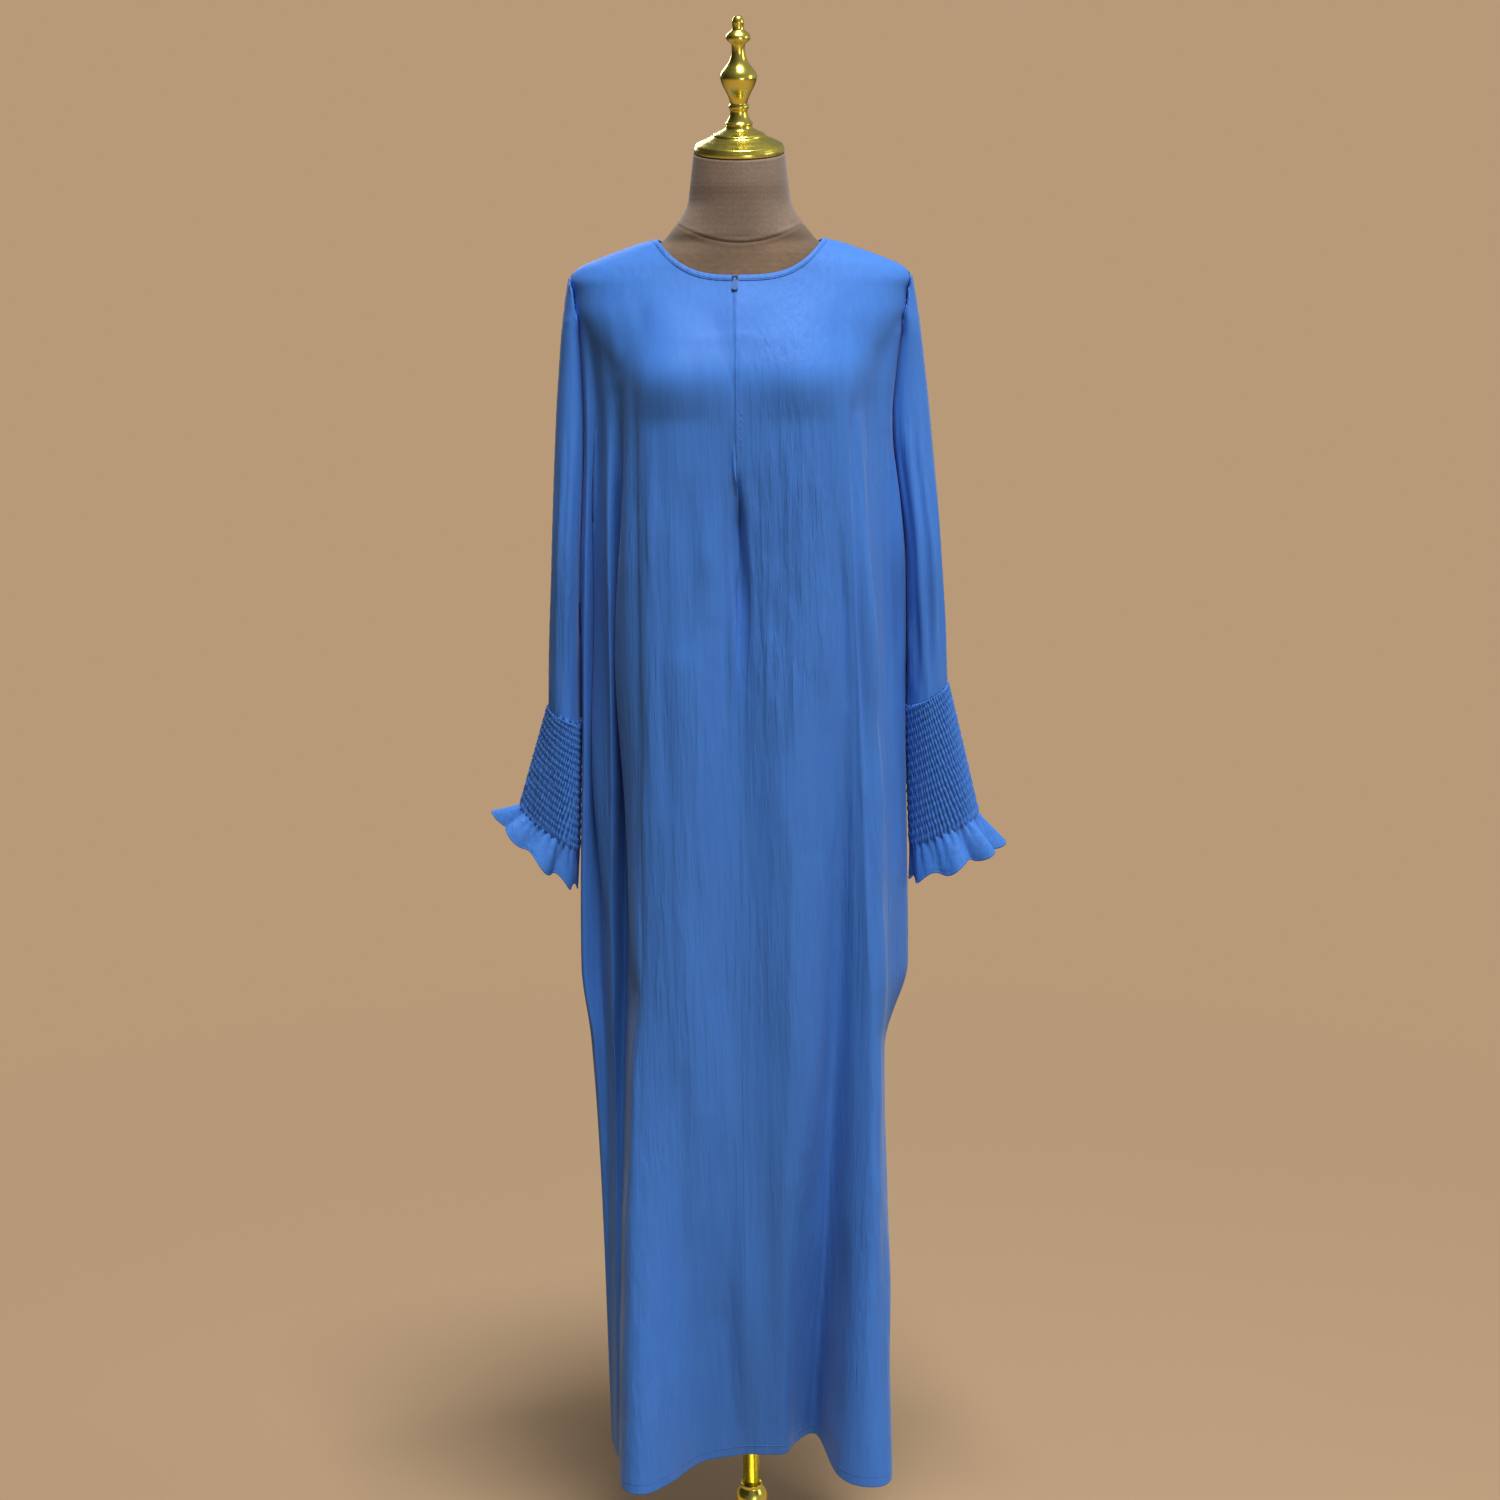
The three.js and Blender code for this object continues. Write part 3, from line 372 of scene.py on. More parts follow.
cap = [(45.4, 0), (46, 0.1), *(row for step in CAP_STEPS for row in eased(step))]
pole = [(POLE - 0.8, POLE_FOOT), (POLE, POLE_FOOT + 0.8), (POLE, POLE_TOP - 0.8), (POLE - 0.8, POLE_TOP)]
socket = [(POLE + SEAM, POLE_FOOT), (30, POLE_FOOT), *eased(SOCKET), (12.6, 132), (POLE + SEAM, 132)]
turned("gilt_neck_cap", cap, "neck_cap", at=along_neck(SEAM), lean=CAP_TILT, around=96)
turned("gilt_finial", eased(FINIAL, steps=3), "finial", at=on_cap, lean=CAP_TILT, around=64)
turned("gilt_pole", pole, "pole", around=48)
turned("gilt_pole_socket", socket, "pole_collar", around=48, hollow=True)
turned("gilt_base", FOOT, "base", around=128)

# ---------------------------------------------------------- robe: its cloth
# Crinkle crepe, a light polyester cloth with a matt face. Fine broken
# crinkles run down it, and it hangs from the shoulders in long soft folds.
# The crepe's colour runs from lit on its crinkles' tops to deep in their troughs: painted shade in the
# troughs.
CREPE = {"lit": (0.050, 0.188, 0.600), "deep": (0.035, 0.138, 0.470)}
crinkle, given, result, add = group_of(
    "ShaderNodeTree", "crepe crinkle",
    [("Vector", "NodeSocketVector", None), ("Crinkle", NUMBER, 1.0), ("Stretch", NUMBER, 0.12)],
    [("Height", NUMBER), ("Trough shade", NUMBER)])
spin = add("ShaderNodeCombineXYZ", {"X": 1.0, "Y": 1.0, "Z": given["Stretch"]})
drawn = add("ShaderNodeVectorMath", {0: given["Vector"], 1: spin.outputs[0]}, operation="MULTIPLY").outputs[0]
broad = noise(add, drawn, 150.0, 3.0, Roughness=0.5, Distortion=0.3)
fine = noise(add, drawn, 330.0, 4.0, Roughness=0.6, Distortion=0.5)
grain = noise(add, given["Vector"], 1500.0, 2.0)
strongest = ranged(add, noise(add, given["Vector"], 6.0, 2.0), (0.42, 0.62), (0.35, 1.0))
sharp = ranged(add, broad, (0.3, 0.7), shape="SMOOTHSTEP")
height = worked_out(add, "MULTIPLY", sharp, strongest)
height = worked_out(add, "MULTIPLY_ADD", fine, 0.35, height)
height = worked_out(add, "MULTIPLY_ADD", grain, 0.10, height)
# The tone follows the broad crinkles, so it paints shade into their troughs.
feed(result, {"Height": worked_out(add, "MULTIPLY", height, given["Crinkle"]),
              "Trough shade": worked_out(add, "MULTIPLY_ADD", broad, 0.6, 0.2)})


def crepe_material(name, strength, stretch, depth):
    """Crepe whose crinkles have a strength, are drawn out by `stretch` and stand `depth` metres high."""
    material, bsdf, add = shader(name)
    loose = add("ShaderNodeAttribute", attribute_name="loose")
    worked = add("ShaderNodeGroup", node_tree=crinkle)
    feed(worked, {"Vector": place_of(add), "Stretch": stretch,
                  "Crinkle": worked_out(add, "MULTIPLY", loose.outputs["Fac"], strength)})
    # The base colour darkens with the crinkles' troughs: painted shade.
    feed(bsdf, {"Base Color": between(add, worked.outputs["Trough shade"], CREPE["deep"], CREPE["lit"]),
                "Normal": bump(add, worked.outputs["Height"], distance=depth, strength=0.8),
                "Roughness": 0.62, "Specular IOR Level": 0.24, "Sheen Weight": 0.13,
                "Sheen Roughness": 0.4, "Sheen Tint": (0.60, 0.75, 1.0, 1)})
    return material


crepe = crepe_material("crinkle crepe", strength=1.0, stretch=0.075, depth=0.0030)

# ---------------------------------------------------- robe: its cut and folds
# Each half panel hangs in fold lines from the neck or the shoulder to the hem.
# They lie on the form above DRAPE_Z, and tables place them below it. Heights
# leave out LIFT, which is added when a piece is made.
CLOTH = 1.6                   # thickness that the frame keeps for the cloth
SHELL, CUFF_SHELL = 1.1, 0.9  # thickness of the cloth's own shell
REST = 1.0                    # air between the form and the cloth
BIND = 4.6                    # width of the neck binding
CF_X = -6                     # the fronts' middle line
NECK_HALF, NECK_DROP, NECK_RISE, BACK_DROP = 91, 39, 3.2, 20
SLEEVE_X, SHOULDER_TIP = 179, 190    # where on the shoulder the sleeve starts, and its tip
DRAPE_Z = 1430                # where the cloth leaves the form
CROTCH_Z = 1010               # where sleeve and side seam part
ZIP_FOOT = 1292               # where the fronts are joined below the zip
HEM_Z, HEM_TURN = 115, 14     # the hem, and its stitches above it
SIDES = {"left": 1, "right": -1}
SHOULDER_X = [91, 107, 124, 142, 160, 176, 184, 190, 194]
SHOULDER_Z = [1534, 1531, 1525.5, 1519.2, 1512.4, 1505.6, 1500, 1492, 1482]
shoulder_z, shoulder_x = curve(SHOULDER_X, SHOULDER_Z), curve(SHOULDER_Z, SHOULDER_X)
LEVELS = [1430, 1385, 1340, 1170, 1010, 700, 600, 115]
# The x of the side seam and of the overarm seam at each of LEVELS.
LINES = {
    "left": {"seam": [179, 172.8, 169, 184, 184.6, 191, 161, 158],
             "over": [200.5, 205.9, 211, 226, 233, 233, 233, 233]},
    "right": {"seam": [180, 178.1, 177, 184.5, 187, 195.5, 186, 165],
              "over": [200, 204.2, 208, 218, 225, 225, 225, 225]},
}
# Slanting ovals at the cuffs: x and z of the inner end and of the outer end, and half the depth.
CUFF_TOP = {"left": (187, 1010, 233, 1033, 38), "right": (190, 992, 225, 1010, 37)}
# Fold lines from the middle out: where each leaves the top edge, then x and y at each of LEVELS.
FRONT = {
    "left": [
        ("lip", 6, [6, 4.1, 3, 7, 12, 18, 19, 20], [-102, -122, -121, -117, -119, -121, -121, -99]),
        ("mid", 38, [34, 34, 34, 38, 42, 46, 45, 42], [-105, -125, -121, -121, -126, -130, -128, -96]),
        ("brow", 72, [64, 65, 66, 70, 72, 70, 68, 56], [-104, -126, -120, -120, -121, -119, -116, -68]),
        ("trough", NECK_HALF + BIND, [92, 94.1, 96, 102, 106, 102, 98, 80],
         [-94, -116, -111, -106, -101, -88, -84, -54]),
        ("rise", 112, [110, 109.4, 109, 117, 122, 124, 124, 101],
         [-84, -104, -104, -102, -101, -102, -106, -146]),
        ("ridge", 134, [128, 123.6, 121, 130, 136, 148, 151, 133],
         [-68, -93, -94, -97, -99, -108, -114, -174]),
        ("fall", 158, [150, 145.6, 143, 154, 159, 165, 158, 163],
         [-46, -57, -59, -56, -52, -54, -63, -160]),
        ("edge", 173, [172, 167, 164, 181, 183, 187, 162, 166],
         [-27, -31, -32, -26, -20, -17, -26, -84]),
    ],
    "right": [
        ("lip", 18, [18, 16.1, 15, 19, 22, 28, 28, 26],
         [-102, -123, -121, -117, -119, -121, -121, -103]),
        ("mid", 45, [45, 45.5, 46, 50, 52, 56, 56, 60],
         [-105, -126, -121, -122, -127, -131, -131, -116]),
        ("brow", 73, [73, 74.5, 76, 82, 84, 86, 88, 93],
         [-102, -126, -119, -121, -124, -128, -130, -160]),
        ("ridge", NECK_HALF + BIND, [100, 102.1, 104, 109, 110, 114, 120, 124],
         [-91, -113, -107, -112, -115, -120, -126, -186]),
        ("lap", 120, [119, 119.5, 120, 121, 121, 128, 134, 150],
         [-75, -90, -89, -96, -98, -104, -112, -172]),
        ("groove", 138, [136, 134.3, 133, 131, 133, 141, 144, 157],
         [-58, -66, -62, -42, -36, -28, -36, -110]),
        ("strip", 156, [152, 150.1, 149, 151, 153, 157, 157, 161],
         [-43, -52, -54, -66, -62, -44, -44, -94]),
        ("tuck", 167, [163, 161.1, 160, 163, 166, 172, 168, 166],
         [-33, -31, -28, -17, -12, -12, -20, -70]),
        ("edge", 174, [174, 172.8, 172, 178, 183, 192, 181, 169],
         [-25, -28, -30, -31, -28, -21, -22, -54]),
    ],
}
BACK = [
    ("mid", 34, [30, 30, 30, 32, 32, 33, 33, 34], [103, 105.8, 108, 112, 114, 120, 122, 128]),
    ("soft", 70, [62, 62, 62, 66, 66, 64, 64, 62], [101, 104.5, 107, 109, 109, 108, 108, 104]),
    ("swell", NECK_HALF + BIND, [96, 94.8, 94, 98, 98, 99, 98, 96],
     [92, 97, 101, 108, 112, 120, 122, 142]),
    ("sink", 126, [124, 121.5, 120, 126, 127, 126, 124, 124], [74, 79, 82, 82, 80, 74, 72, 84]),
    ("roll", 152, [149, 145.9, 144, 151, 153, 154, 146, 148], [50, 57, 62, 66, 66, 68, 66, 96]),
    ("edge", 173, [172, 167, 164, 176, 180, 187, 162, 162], [27, 30.1, 32, 28, 22, 18, 24, 44]),
]


def skin(x, z, face, air):
    """Depth of the skin that a cloth lies in on the form, 0 past its edge."""
    edge = form_at["half"](z) + air
    edge = np.maximum(edge, mix(edge, shoulder_x(z), smooth(1474, 1504, z)))
    u, p = np.minimum(np.abs(x) / edge, 1), form_at["power"](z)
    deep = form_at["front"](z) - form_at["mid"](z) if face < 0 else form_at["back"](z) + form_at["mid"](z)
    return np.where((u < 1) & (z > 885), (deep + air * 1.2 + 0.5) * (1 - u**p) ** (1 / p), 0)


def neckline(x, face, grow):
    """Height of the neck opening's edge, grown outwards by `grow`."""
    half, drop = NECK_HALF + grow, (NECK_DROP if face < 0 else BACK_DROP) + grow
    return float(shoulder_z(half)) - drop * (1 - min(abs(x) / half, 1) ** (NECK_RISE if face < 0 else 3))


def turned_half(w):
    """How far across its oval a place is, at w of the half turn round it."""
    return 0.5 - 0.5 * np.cos(np.pi * w)


def air_at(x, face):
    """Distance of the cloth's outside from the form; the front stands off more along the zip."""
    return REST + CLOTH + (2.1 * np.exp(-(((x - CF_X) / 17) ** 2)) if face < 0 else 0)


class Half:
    """Half a panel from its middle line to the overarm seam; face is -1 on the front.

    A fold line is numbered from the middle out: 0 is the middle, `body` the side
    seam and `body` + 1 the overarm seam.
    """

    def __init__(self, name, face, folds, middle):
        self.face, self.side, self.cuff = face, SIDES[name], CUFF_TOP[name]
        self.over = curve(LEVELS, LINES[name]["over"])
        seam = (SLEEVE_X, curve(LEVELS, LINES[name]["seam"]), lambda z: 0 * z)
        self.lines = [middle, *((t, curve(LEVELS, x), curve(LEVELS, y)) for _, t, x, y in folds), seam]
        self.body = len(self.lines) - 1

    def valley(self, z):
        """Depth of the valley between the body and the sleeve."""
        shallow = np.abs(self.lines[self.body - 1][2](z)) * 0.86
        deep = mix(1.7, 9.5, smooth(CROTCH_Z, 1110, z))
        return 0.5 * SEAM + mix(deep, shallow, smooth(1425, 1482, z))

    def across(self, u, z):
        """Where the cloth is between two fold lines, as x, y and the line's top."""
        i = min(int(u), self.body - 1)
        t = u - i

        def line(k):
            top, x, y = self.lines[min(max(k, 0), self.body)]
            at_seam = self.face * np.where(z > CROTCH_Z + 1, self.valley(z), 0.5 * SEAM)
            return np.array([x(z) + 0 * z, at_seam if k >= self.body else y(z) + 0 * z, top + 0 * z])
        b, c = line(i), line(i + 1)
        a = np.array([2 * b[0] - c[0], c[1], 2 * b[2] - c[2]]) if i == 0 else line(i - 1)
        if i == self.body - 1:
            d = np.array([c[0] + 0.3 * (c[0] - b[0]), c[1] - self.face * 4, c[2] + 3])
        else:
            d = line(i + 2)
        return hermite(t, b, c, (c - a) / 2, (d - b) / 2)

    def top_of(self, u):
        """The place on the neckline or the shoulder from which fold line u hangs."""
        if u > self.body:
            t = mix(SLEEVE_X, SHOULDER_TIP, u - self.body)
        else:
            t = float(self.across(u, np.array([DRAPE_Z * 1.0]))[2][0])
        return t, (neckline(t, self.face, BIND) if t < NECK_HALF + BIND else float(shoulder_z(t)))

    def at(self, u, z):
        """Points of fold line u at the heights z."""
        (tx, tz), body, face = self.top_of(u), self.body, self.face
        f, low, upper = np.clip((tz - z) / (tz - DRAPE_Z), 0, 1), np.minimum(z, DRAPE_Z), z >= DRAPE_Z
        slope = 0.0
        if u <= body:
            x, y, _ = self.across(u, low)
            before, here = self.across(u, np.array([DRAPE_Z - 4.0, DRAPE_Z]))[1]
            slope = min(max((abs(before) - abs(here)) / 4, 0), 0.5)
        else:
            w = u - body
            k = smooth(CROTCH_Z, 1240, low)
            deep = mix(self.cuff[4], mix(44, 24, smooth(1150, 1430, low)), k)
            x = mix(mix(self.lines[-1][1](low), self.cuff[0], 1 - k), self.over(low), turned_half(w))
            base = np.where(z > DRAPE_Z, np.abs(self.at(body, z)[:, 1]), self.valley(z))
            hump = base * (1 - w) ** 2 + (deep - base * 0.4) * abs(math.sin(math.pi * w)) ** 0.8
            y = face * (mix(hump, base * (1 - w * w) ** 0.6, smooth(1446, 1496, z)) + 0.5 * SEAM * w)
        x = np.where(upper, mix(tx, x, f**0.8), x)
        lie = skin(x, z, face, air_at(self.side * x, face))
        rise = np.sqrt(np.clip(f * 6, 0, 1))
        held = face * mix(self.valley(z) * rise, self.valley(z), f) if abs(u - body) < 0.01 else y
        onward = np.maximum(np.abs(held) - slope * (z - DRAPE_Z), 0) if u < body - 0.01 else np.abs(held)
        on = face * mix(np.where(lie > 0, lie, np.abs(held) * rise), onward, smooth(0.45, 1, f))
        y = np.where(upper, on, y)
        y = np.where(np.abs(y) < lie, face * lie, y)
        if tx >= NECK_HALF + BIND:
            y = np.where(z >= tz - 1e-6, face * 0.5 * SEAM, y)
        if u > body + 1 - 1e-9:
            y = face * 0.5 * SEAM + 0 * z
        return np.c_[self.side * x, y, z]


CF_FRONT = curve([1495, 1430, 1380, 1340, 1290, 1262, 1225, 1170, 1010, 700, 350, 115],
                 [-66, -100, -121, -121.5, -119, -111, -101, -104, -114, -119, -119, -98])
CF_BACK = curve(LEVELS, [104, 106.8, 109, 113, 114, 117, 118, 116])


def fold_steps(body, per_fold, per_sleeve):
    """Column places, closer together beside the panel's edges, where seams draw the cloth in."""
    near = [0.008, 0.02, 0.04, 0.07]
    us = np.r_[np.linspace(0, body, body * per_fold + 1), np.linspace(body, body + 1, per_sleeve + 1)]
    us = np.r_[us, near, body - np.array(near) * 2, body + 1 - np.array(near) * 1.6]
    return np.unique(us.round(5))


def heights(top):
    """Heights of a fold line's points from its top to the hem."""
    upper = mix(top, DRAPE_Z, np.linspace(0, 1, 27) ** 1.5)
    sleeve, skirt = np.arange(DRAPE_Z - 5.2, CROTCH_Z, -5.25), np.linspace(CROTCH_Z, HEM_Z + 6, 150)
    return np.r_[upper, sleeve, skirt, HEM_Z + 3, HEM_Z + 1, HEM_Z]


def panel(half, us):
    """Grid of outer points of half a panel, and which of them are cloth."""
    grid, cloth = [], []
    for u in us:
        z = heights(half.top_of(u)[1])
        p = half.at(u, z)
        w = max(0.0, u - half.body)
        if u >= half.body - 1e-9:
            tip = mix(half.cuff[1], half.cuff[3], turned_half(w)) - CROTCH_Z
            p[:, 2] += np.where(z >= CROTCH_Z - 1e-6, tip * smooth(1230, CROTCH_Z, z), 0)
        grid.append(p)
        cloth.append(np.ones(len(z), bool) if w == 0 else z >= CROTCH_Z - 1e-6)
    return np.array(grid), np.array(cloth)


# ------------------------------------------------- robe: creases and crinkles
# Creases, in millimetres over the hanging cloth: where each
# starts and ends, how far it bows, its half width and its height (below 0 a trough).
FRONT_CREASES = [
    # The pleat under the zip: its two lips and the mouth between them.
    (-8, 1318, -9, 1150, 0, 1.9, -2.6), (-12, 1292, -14, 980, 0, 3.6, -2.2),
    (0, 1262, 4, 1040, 0, 5.5, 1.6), (-20, 1280, -21, 1010, 0, 4.0, 0.9),
    (13, 1250, 20, 1060, 2, 4.0, 1.2), (28, 1180, 30, 980, 0, 8, -0.8),
    # Soft folds of the wearer's right.
    (-40, 1255, -36, 1120, 2, 9, -1.3), (-62, 1290, -64, 1080, -3, 12, 1.1),
    (-84, 1220, -86, 900, 3, 9, 1.2), (-98, 1330, -104, 1140, -2, 6, -1.4),
    (-52, 960, -48, 560, 4, 13, 1.4), (-30, 700, -34, 300, -3, 14, -1.6),
    (-74, 620, -88, 240, -4, 12, 1.7), (-58, 420, -70, 150, 3, 15, 0.9),
    # Livelier folds of the wearer's left, where the cloth is pulled to the sleeve.
    (17, 1290, 24, 1190, 1, 3.2, 1.0), (30, 1320, 37, 1195, -1, 2.6, -0.9),
    (41, 1300, 45, 1150, 2, 2.8, 1.0), (49, 1330, 53, 1225, 1, 2.4, -0.9),
    (56, 1345, 60, 1240, -1, 2.6, 0.9), (63, 1300, 64, 1130, 2, 3.4, -1.1),
    (71, 1350, 76, 1190, 1, 2.6, 0.9), (79, 1310, 82, 1200, -1, 2.6, -0.9),
    (34, 1160, 32, 1040, 1, 4.0, 1.0), (54, 1150, 50, 980, -2, 5.0, -1.1),
    (88, 1180, 92, 1000, 2, 6.0, -1.5), (104, 1240, 114, 1020, -2, 5.0, 1.4),
    (44, 900, 40, 500, 3, 10, 1.3), (72, 860, 66, 420, -4, 12, -1.6), (92, 560, 78, 180, 5, 10, -2.0),
    (112, 420, 100, 160, 2, 8, 1.4),
    # Ridges and grooves by the side seam of the wearer's left.
    (119, 1370, 137, 930, 1, 2.8, 2.0), (126, 1350, 146, 900, 1, 4.4, -4.8),
    (136, 1040, 148, 660, 1, 3.0, 1.8), (145, 1010, 156, 640, 1, 5.0, -4.0),
    (164, 1330, 180, 960, -2, 2.8, 1.8), (158, 1330, 168, 940, -1, 8, 1.6),
    (170, 1300, 182, 1040, -2, 2.6, -1.4), (150, 700, 152, 460, 3, 6, 1.6),
    (158, 520, 160, 230, -2, 5, -1.4),
    # Drags from the shoulders down to the bust.
    (-120, 1490, -104, 1400, -6, 9, 1.1), (-146, 1470, -138, 1370, -4, 8, -1.2),
    (122, 1480, 106, 1395, 6, 9, 1.1), (148, 1460, 140, 1360, 4, 8, -1.2),
    # Deep narrow folds by the side seam of the wearer's right.
    (-123, 1380, -128, 700, 1, 4.6, -6.5), (-115, 1380, -119, 700, 1, 2.8, 1.6),
    (-161, 1360, -164, 760, 0, 3.4, -5.5), (-154, 1360, -157, 760, 0, 2.8, 1.8),
    (-152, 700, -160, 420, 0, 6, 1.0), (-140, 480, -150, 200, 3, 7, -1.0),
    (-116, 1180, -114, 900, 0, 5, 0.8), (-120, 820, -128, 560, 2, 6, 0.9),
]
BACK_CREASES = [
    (-6, 1440, -12, 1240, 3, 10, -1.4), (16, 1380, 20, 1180, -3, 9, 1.2),
    (-36, 1400, -42, 1190, 3, 8, 1.3), (44, 1420, 52, 1230, 2, 7, -1.3),
    (-66, 1380, -70, 1160, -3, 8, -1.4), (74, 1340, 78, 1100, 3, 8, 1.4),
    (96, 1430, 102, 1240, 2, 6, -1.3), (-104, 1420, -110, 1180, -2, 6, 1.4),
    (-126, 1380, -132, 1150, 2, 5, -1.4), (130, 1360, 138, 1130, -2, 5, 1.4),
    (-150, 1330, -156, 1080, 0, 5, 1.5), (152, 1300, 158, 1060, 0, 5, -1.5),
    (4, 1130, 0, 800, 4, 12, 1.5), (-28, 1080, -34, 720, -3, 11, -1.6), (34, 1040, 40, 700, 3, 10, 1.5),
    (62, 1000, 58, 640, -3, 9, -1.5), (-60, 980, -56, 620, 3, 9, 1.6), (-88, 1060, -92, 720, 2, 7, -1.5),
    (90, 960, 96, 620, -2, 7, 1.6), (118, 1000, 124, 700, 2, 6, -1.6), (-120, 940, -126, 640, -2, 6, 1.6),
    (144, 940, 150, 640, 2, 5, 1.5), (-146, 900, -152, 600, 0, 5, -1.5), (14, 620, 20, 240, -4, 12, -1.7),
    (-16, 540, -22, 180, 3, 11, 1.6), (48, 560, 46, 170, 3, 10, 1.7), (-50, 600, -46, 220, -3, 10, -1.6),
    (80, 520, 84, 160, 2, 8, -1.7), (-82, 480, -86, 150, -2, 8, 1.7), (110, 560, 112, 190, 0, 7, 1.6),
    (-112, 520, -114, 170, 0, 7, -1.7), (138, 480, 142, 180, 0, 6, -1.6),
    (-138, 500, -144, 160, 0, 6, 1.6), (-150, 1490, -112, 1400, -7, 9, 1.2),
    (150, 1490, 110, 1396, 7, 9, 1.2), (-60, 1506, -44, 1430, -4, 9, -0.8),
    (58, 1506, 46, 1424, 4, 9, -0.8),
]
# Creases of the sleeves, by their turn round the sleeve (0 underarm, 1 overarm) and height.
SLEEVE_CREASES = [
    (0.52, 1350, 0.54, 1030, 0.01, 0.036, 2.2), (0.40, 1330, 0.43, 1035, 0.02, 0.060, -2.0),
    (0.62, 1310, 0.63, 1040, 0.0, 0.045, -1.8), (0.73, 1340, 0.72, 1040, 0.0, 0.034, 1.6),
    (0.82, 1290, 0.83, 1060, 0.01, 0.04, -1.3), (0.24, 1380, 0.27, 1180, 0.02, 0.05, 1.0),
    (0.33, 1140, 0.31, 1030, 0.0, 0.035, 1.5), (0.17, 1110, 0.18, 1030, 0.0, 0.03, -1.2),
]


def laid(creases, x, z, stretch=1.0):
    """Height that the creases add at (x, z); each tapers to nothing at its ends."""
    total = np.zeros_like(x)
    for n, (x0, z0, x1, z1, bow, wide, high) in enumerate(creases):
        dx, dz = (x1 - x0) * stretch, z1 - z0
        length = math.hypot(dx, dz)
        px, pz = (x - x0) * stretch, z - z0
        t = (px * dx + pz * dz) / length**2
        off = (px * dz - pz * dx) / length - bow * stretch * 4 * t * (1 - t)
        inside = (t > 0) & (t < 1)
        t = np.clip(t, 0, 1)
        swell = np.sin(np.pi * t) ** 0.8 * (1 + 0.3 * np.sin(9 * t + n * 1.7))
        total += np.where(inside, high * swell * np.exp(-(off / (wide * stretch)) ** 2), 0)
    return 2.2 * total


def ripple(x, z, seed, count, pitch, high):
    """Fine uneven crinkles that run down the cloth, from a few wandering waves."""
    rng = np.random.default_rng(seed)
    total = np.zeros_like(x)
    for _ in range(count):
        size, drift, shift = pitch * rng.uniform(0.7, 1.6), rng.uniform(40, 120), rng.uniform(0, 2 * np.pi, 3)
        wander = 2.2 * np.sin(z / drift + shift[0]) + 1.3 * np.sin(z / (drift * 0.37) + shift[1])
        patch = np.clip(np.sin(z / rng.uniform(60, 150) + x / rng.uniform(30, 70) + shift[2]), 0, 1) ** 2
        total += patch * np.sin(2 * np.pi * x / size + wander)
    return high * total / math.sqrt(count)


def surface_normals(grid, face, side):
    """The cloth's outward direction at each point of the grid."""
    along_u = np.gradient(grid, axis=0)
    along_z = np.gradient(grid, axis=1)
    n = np.cross(along_u, along_z) * (-face * side)
    n = np.where(np.linalg.norm(n, axis=2, keepdims=True) > 1e-9, n, np.array([0, face, 0]))
    return n / np.linalg.norm(n, axis=2, keepdims=True)


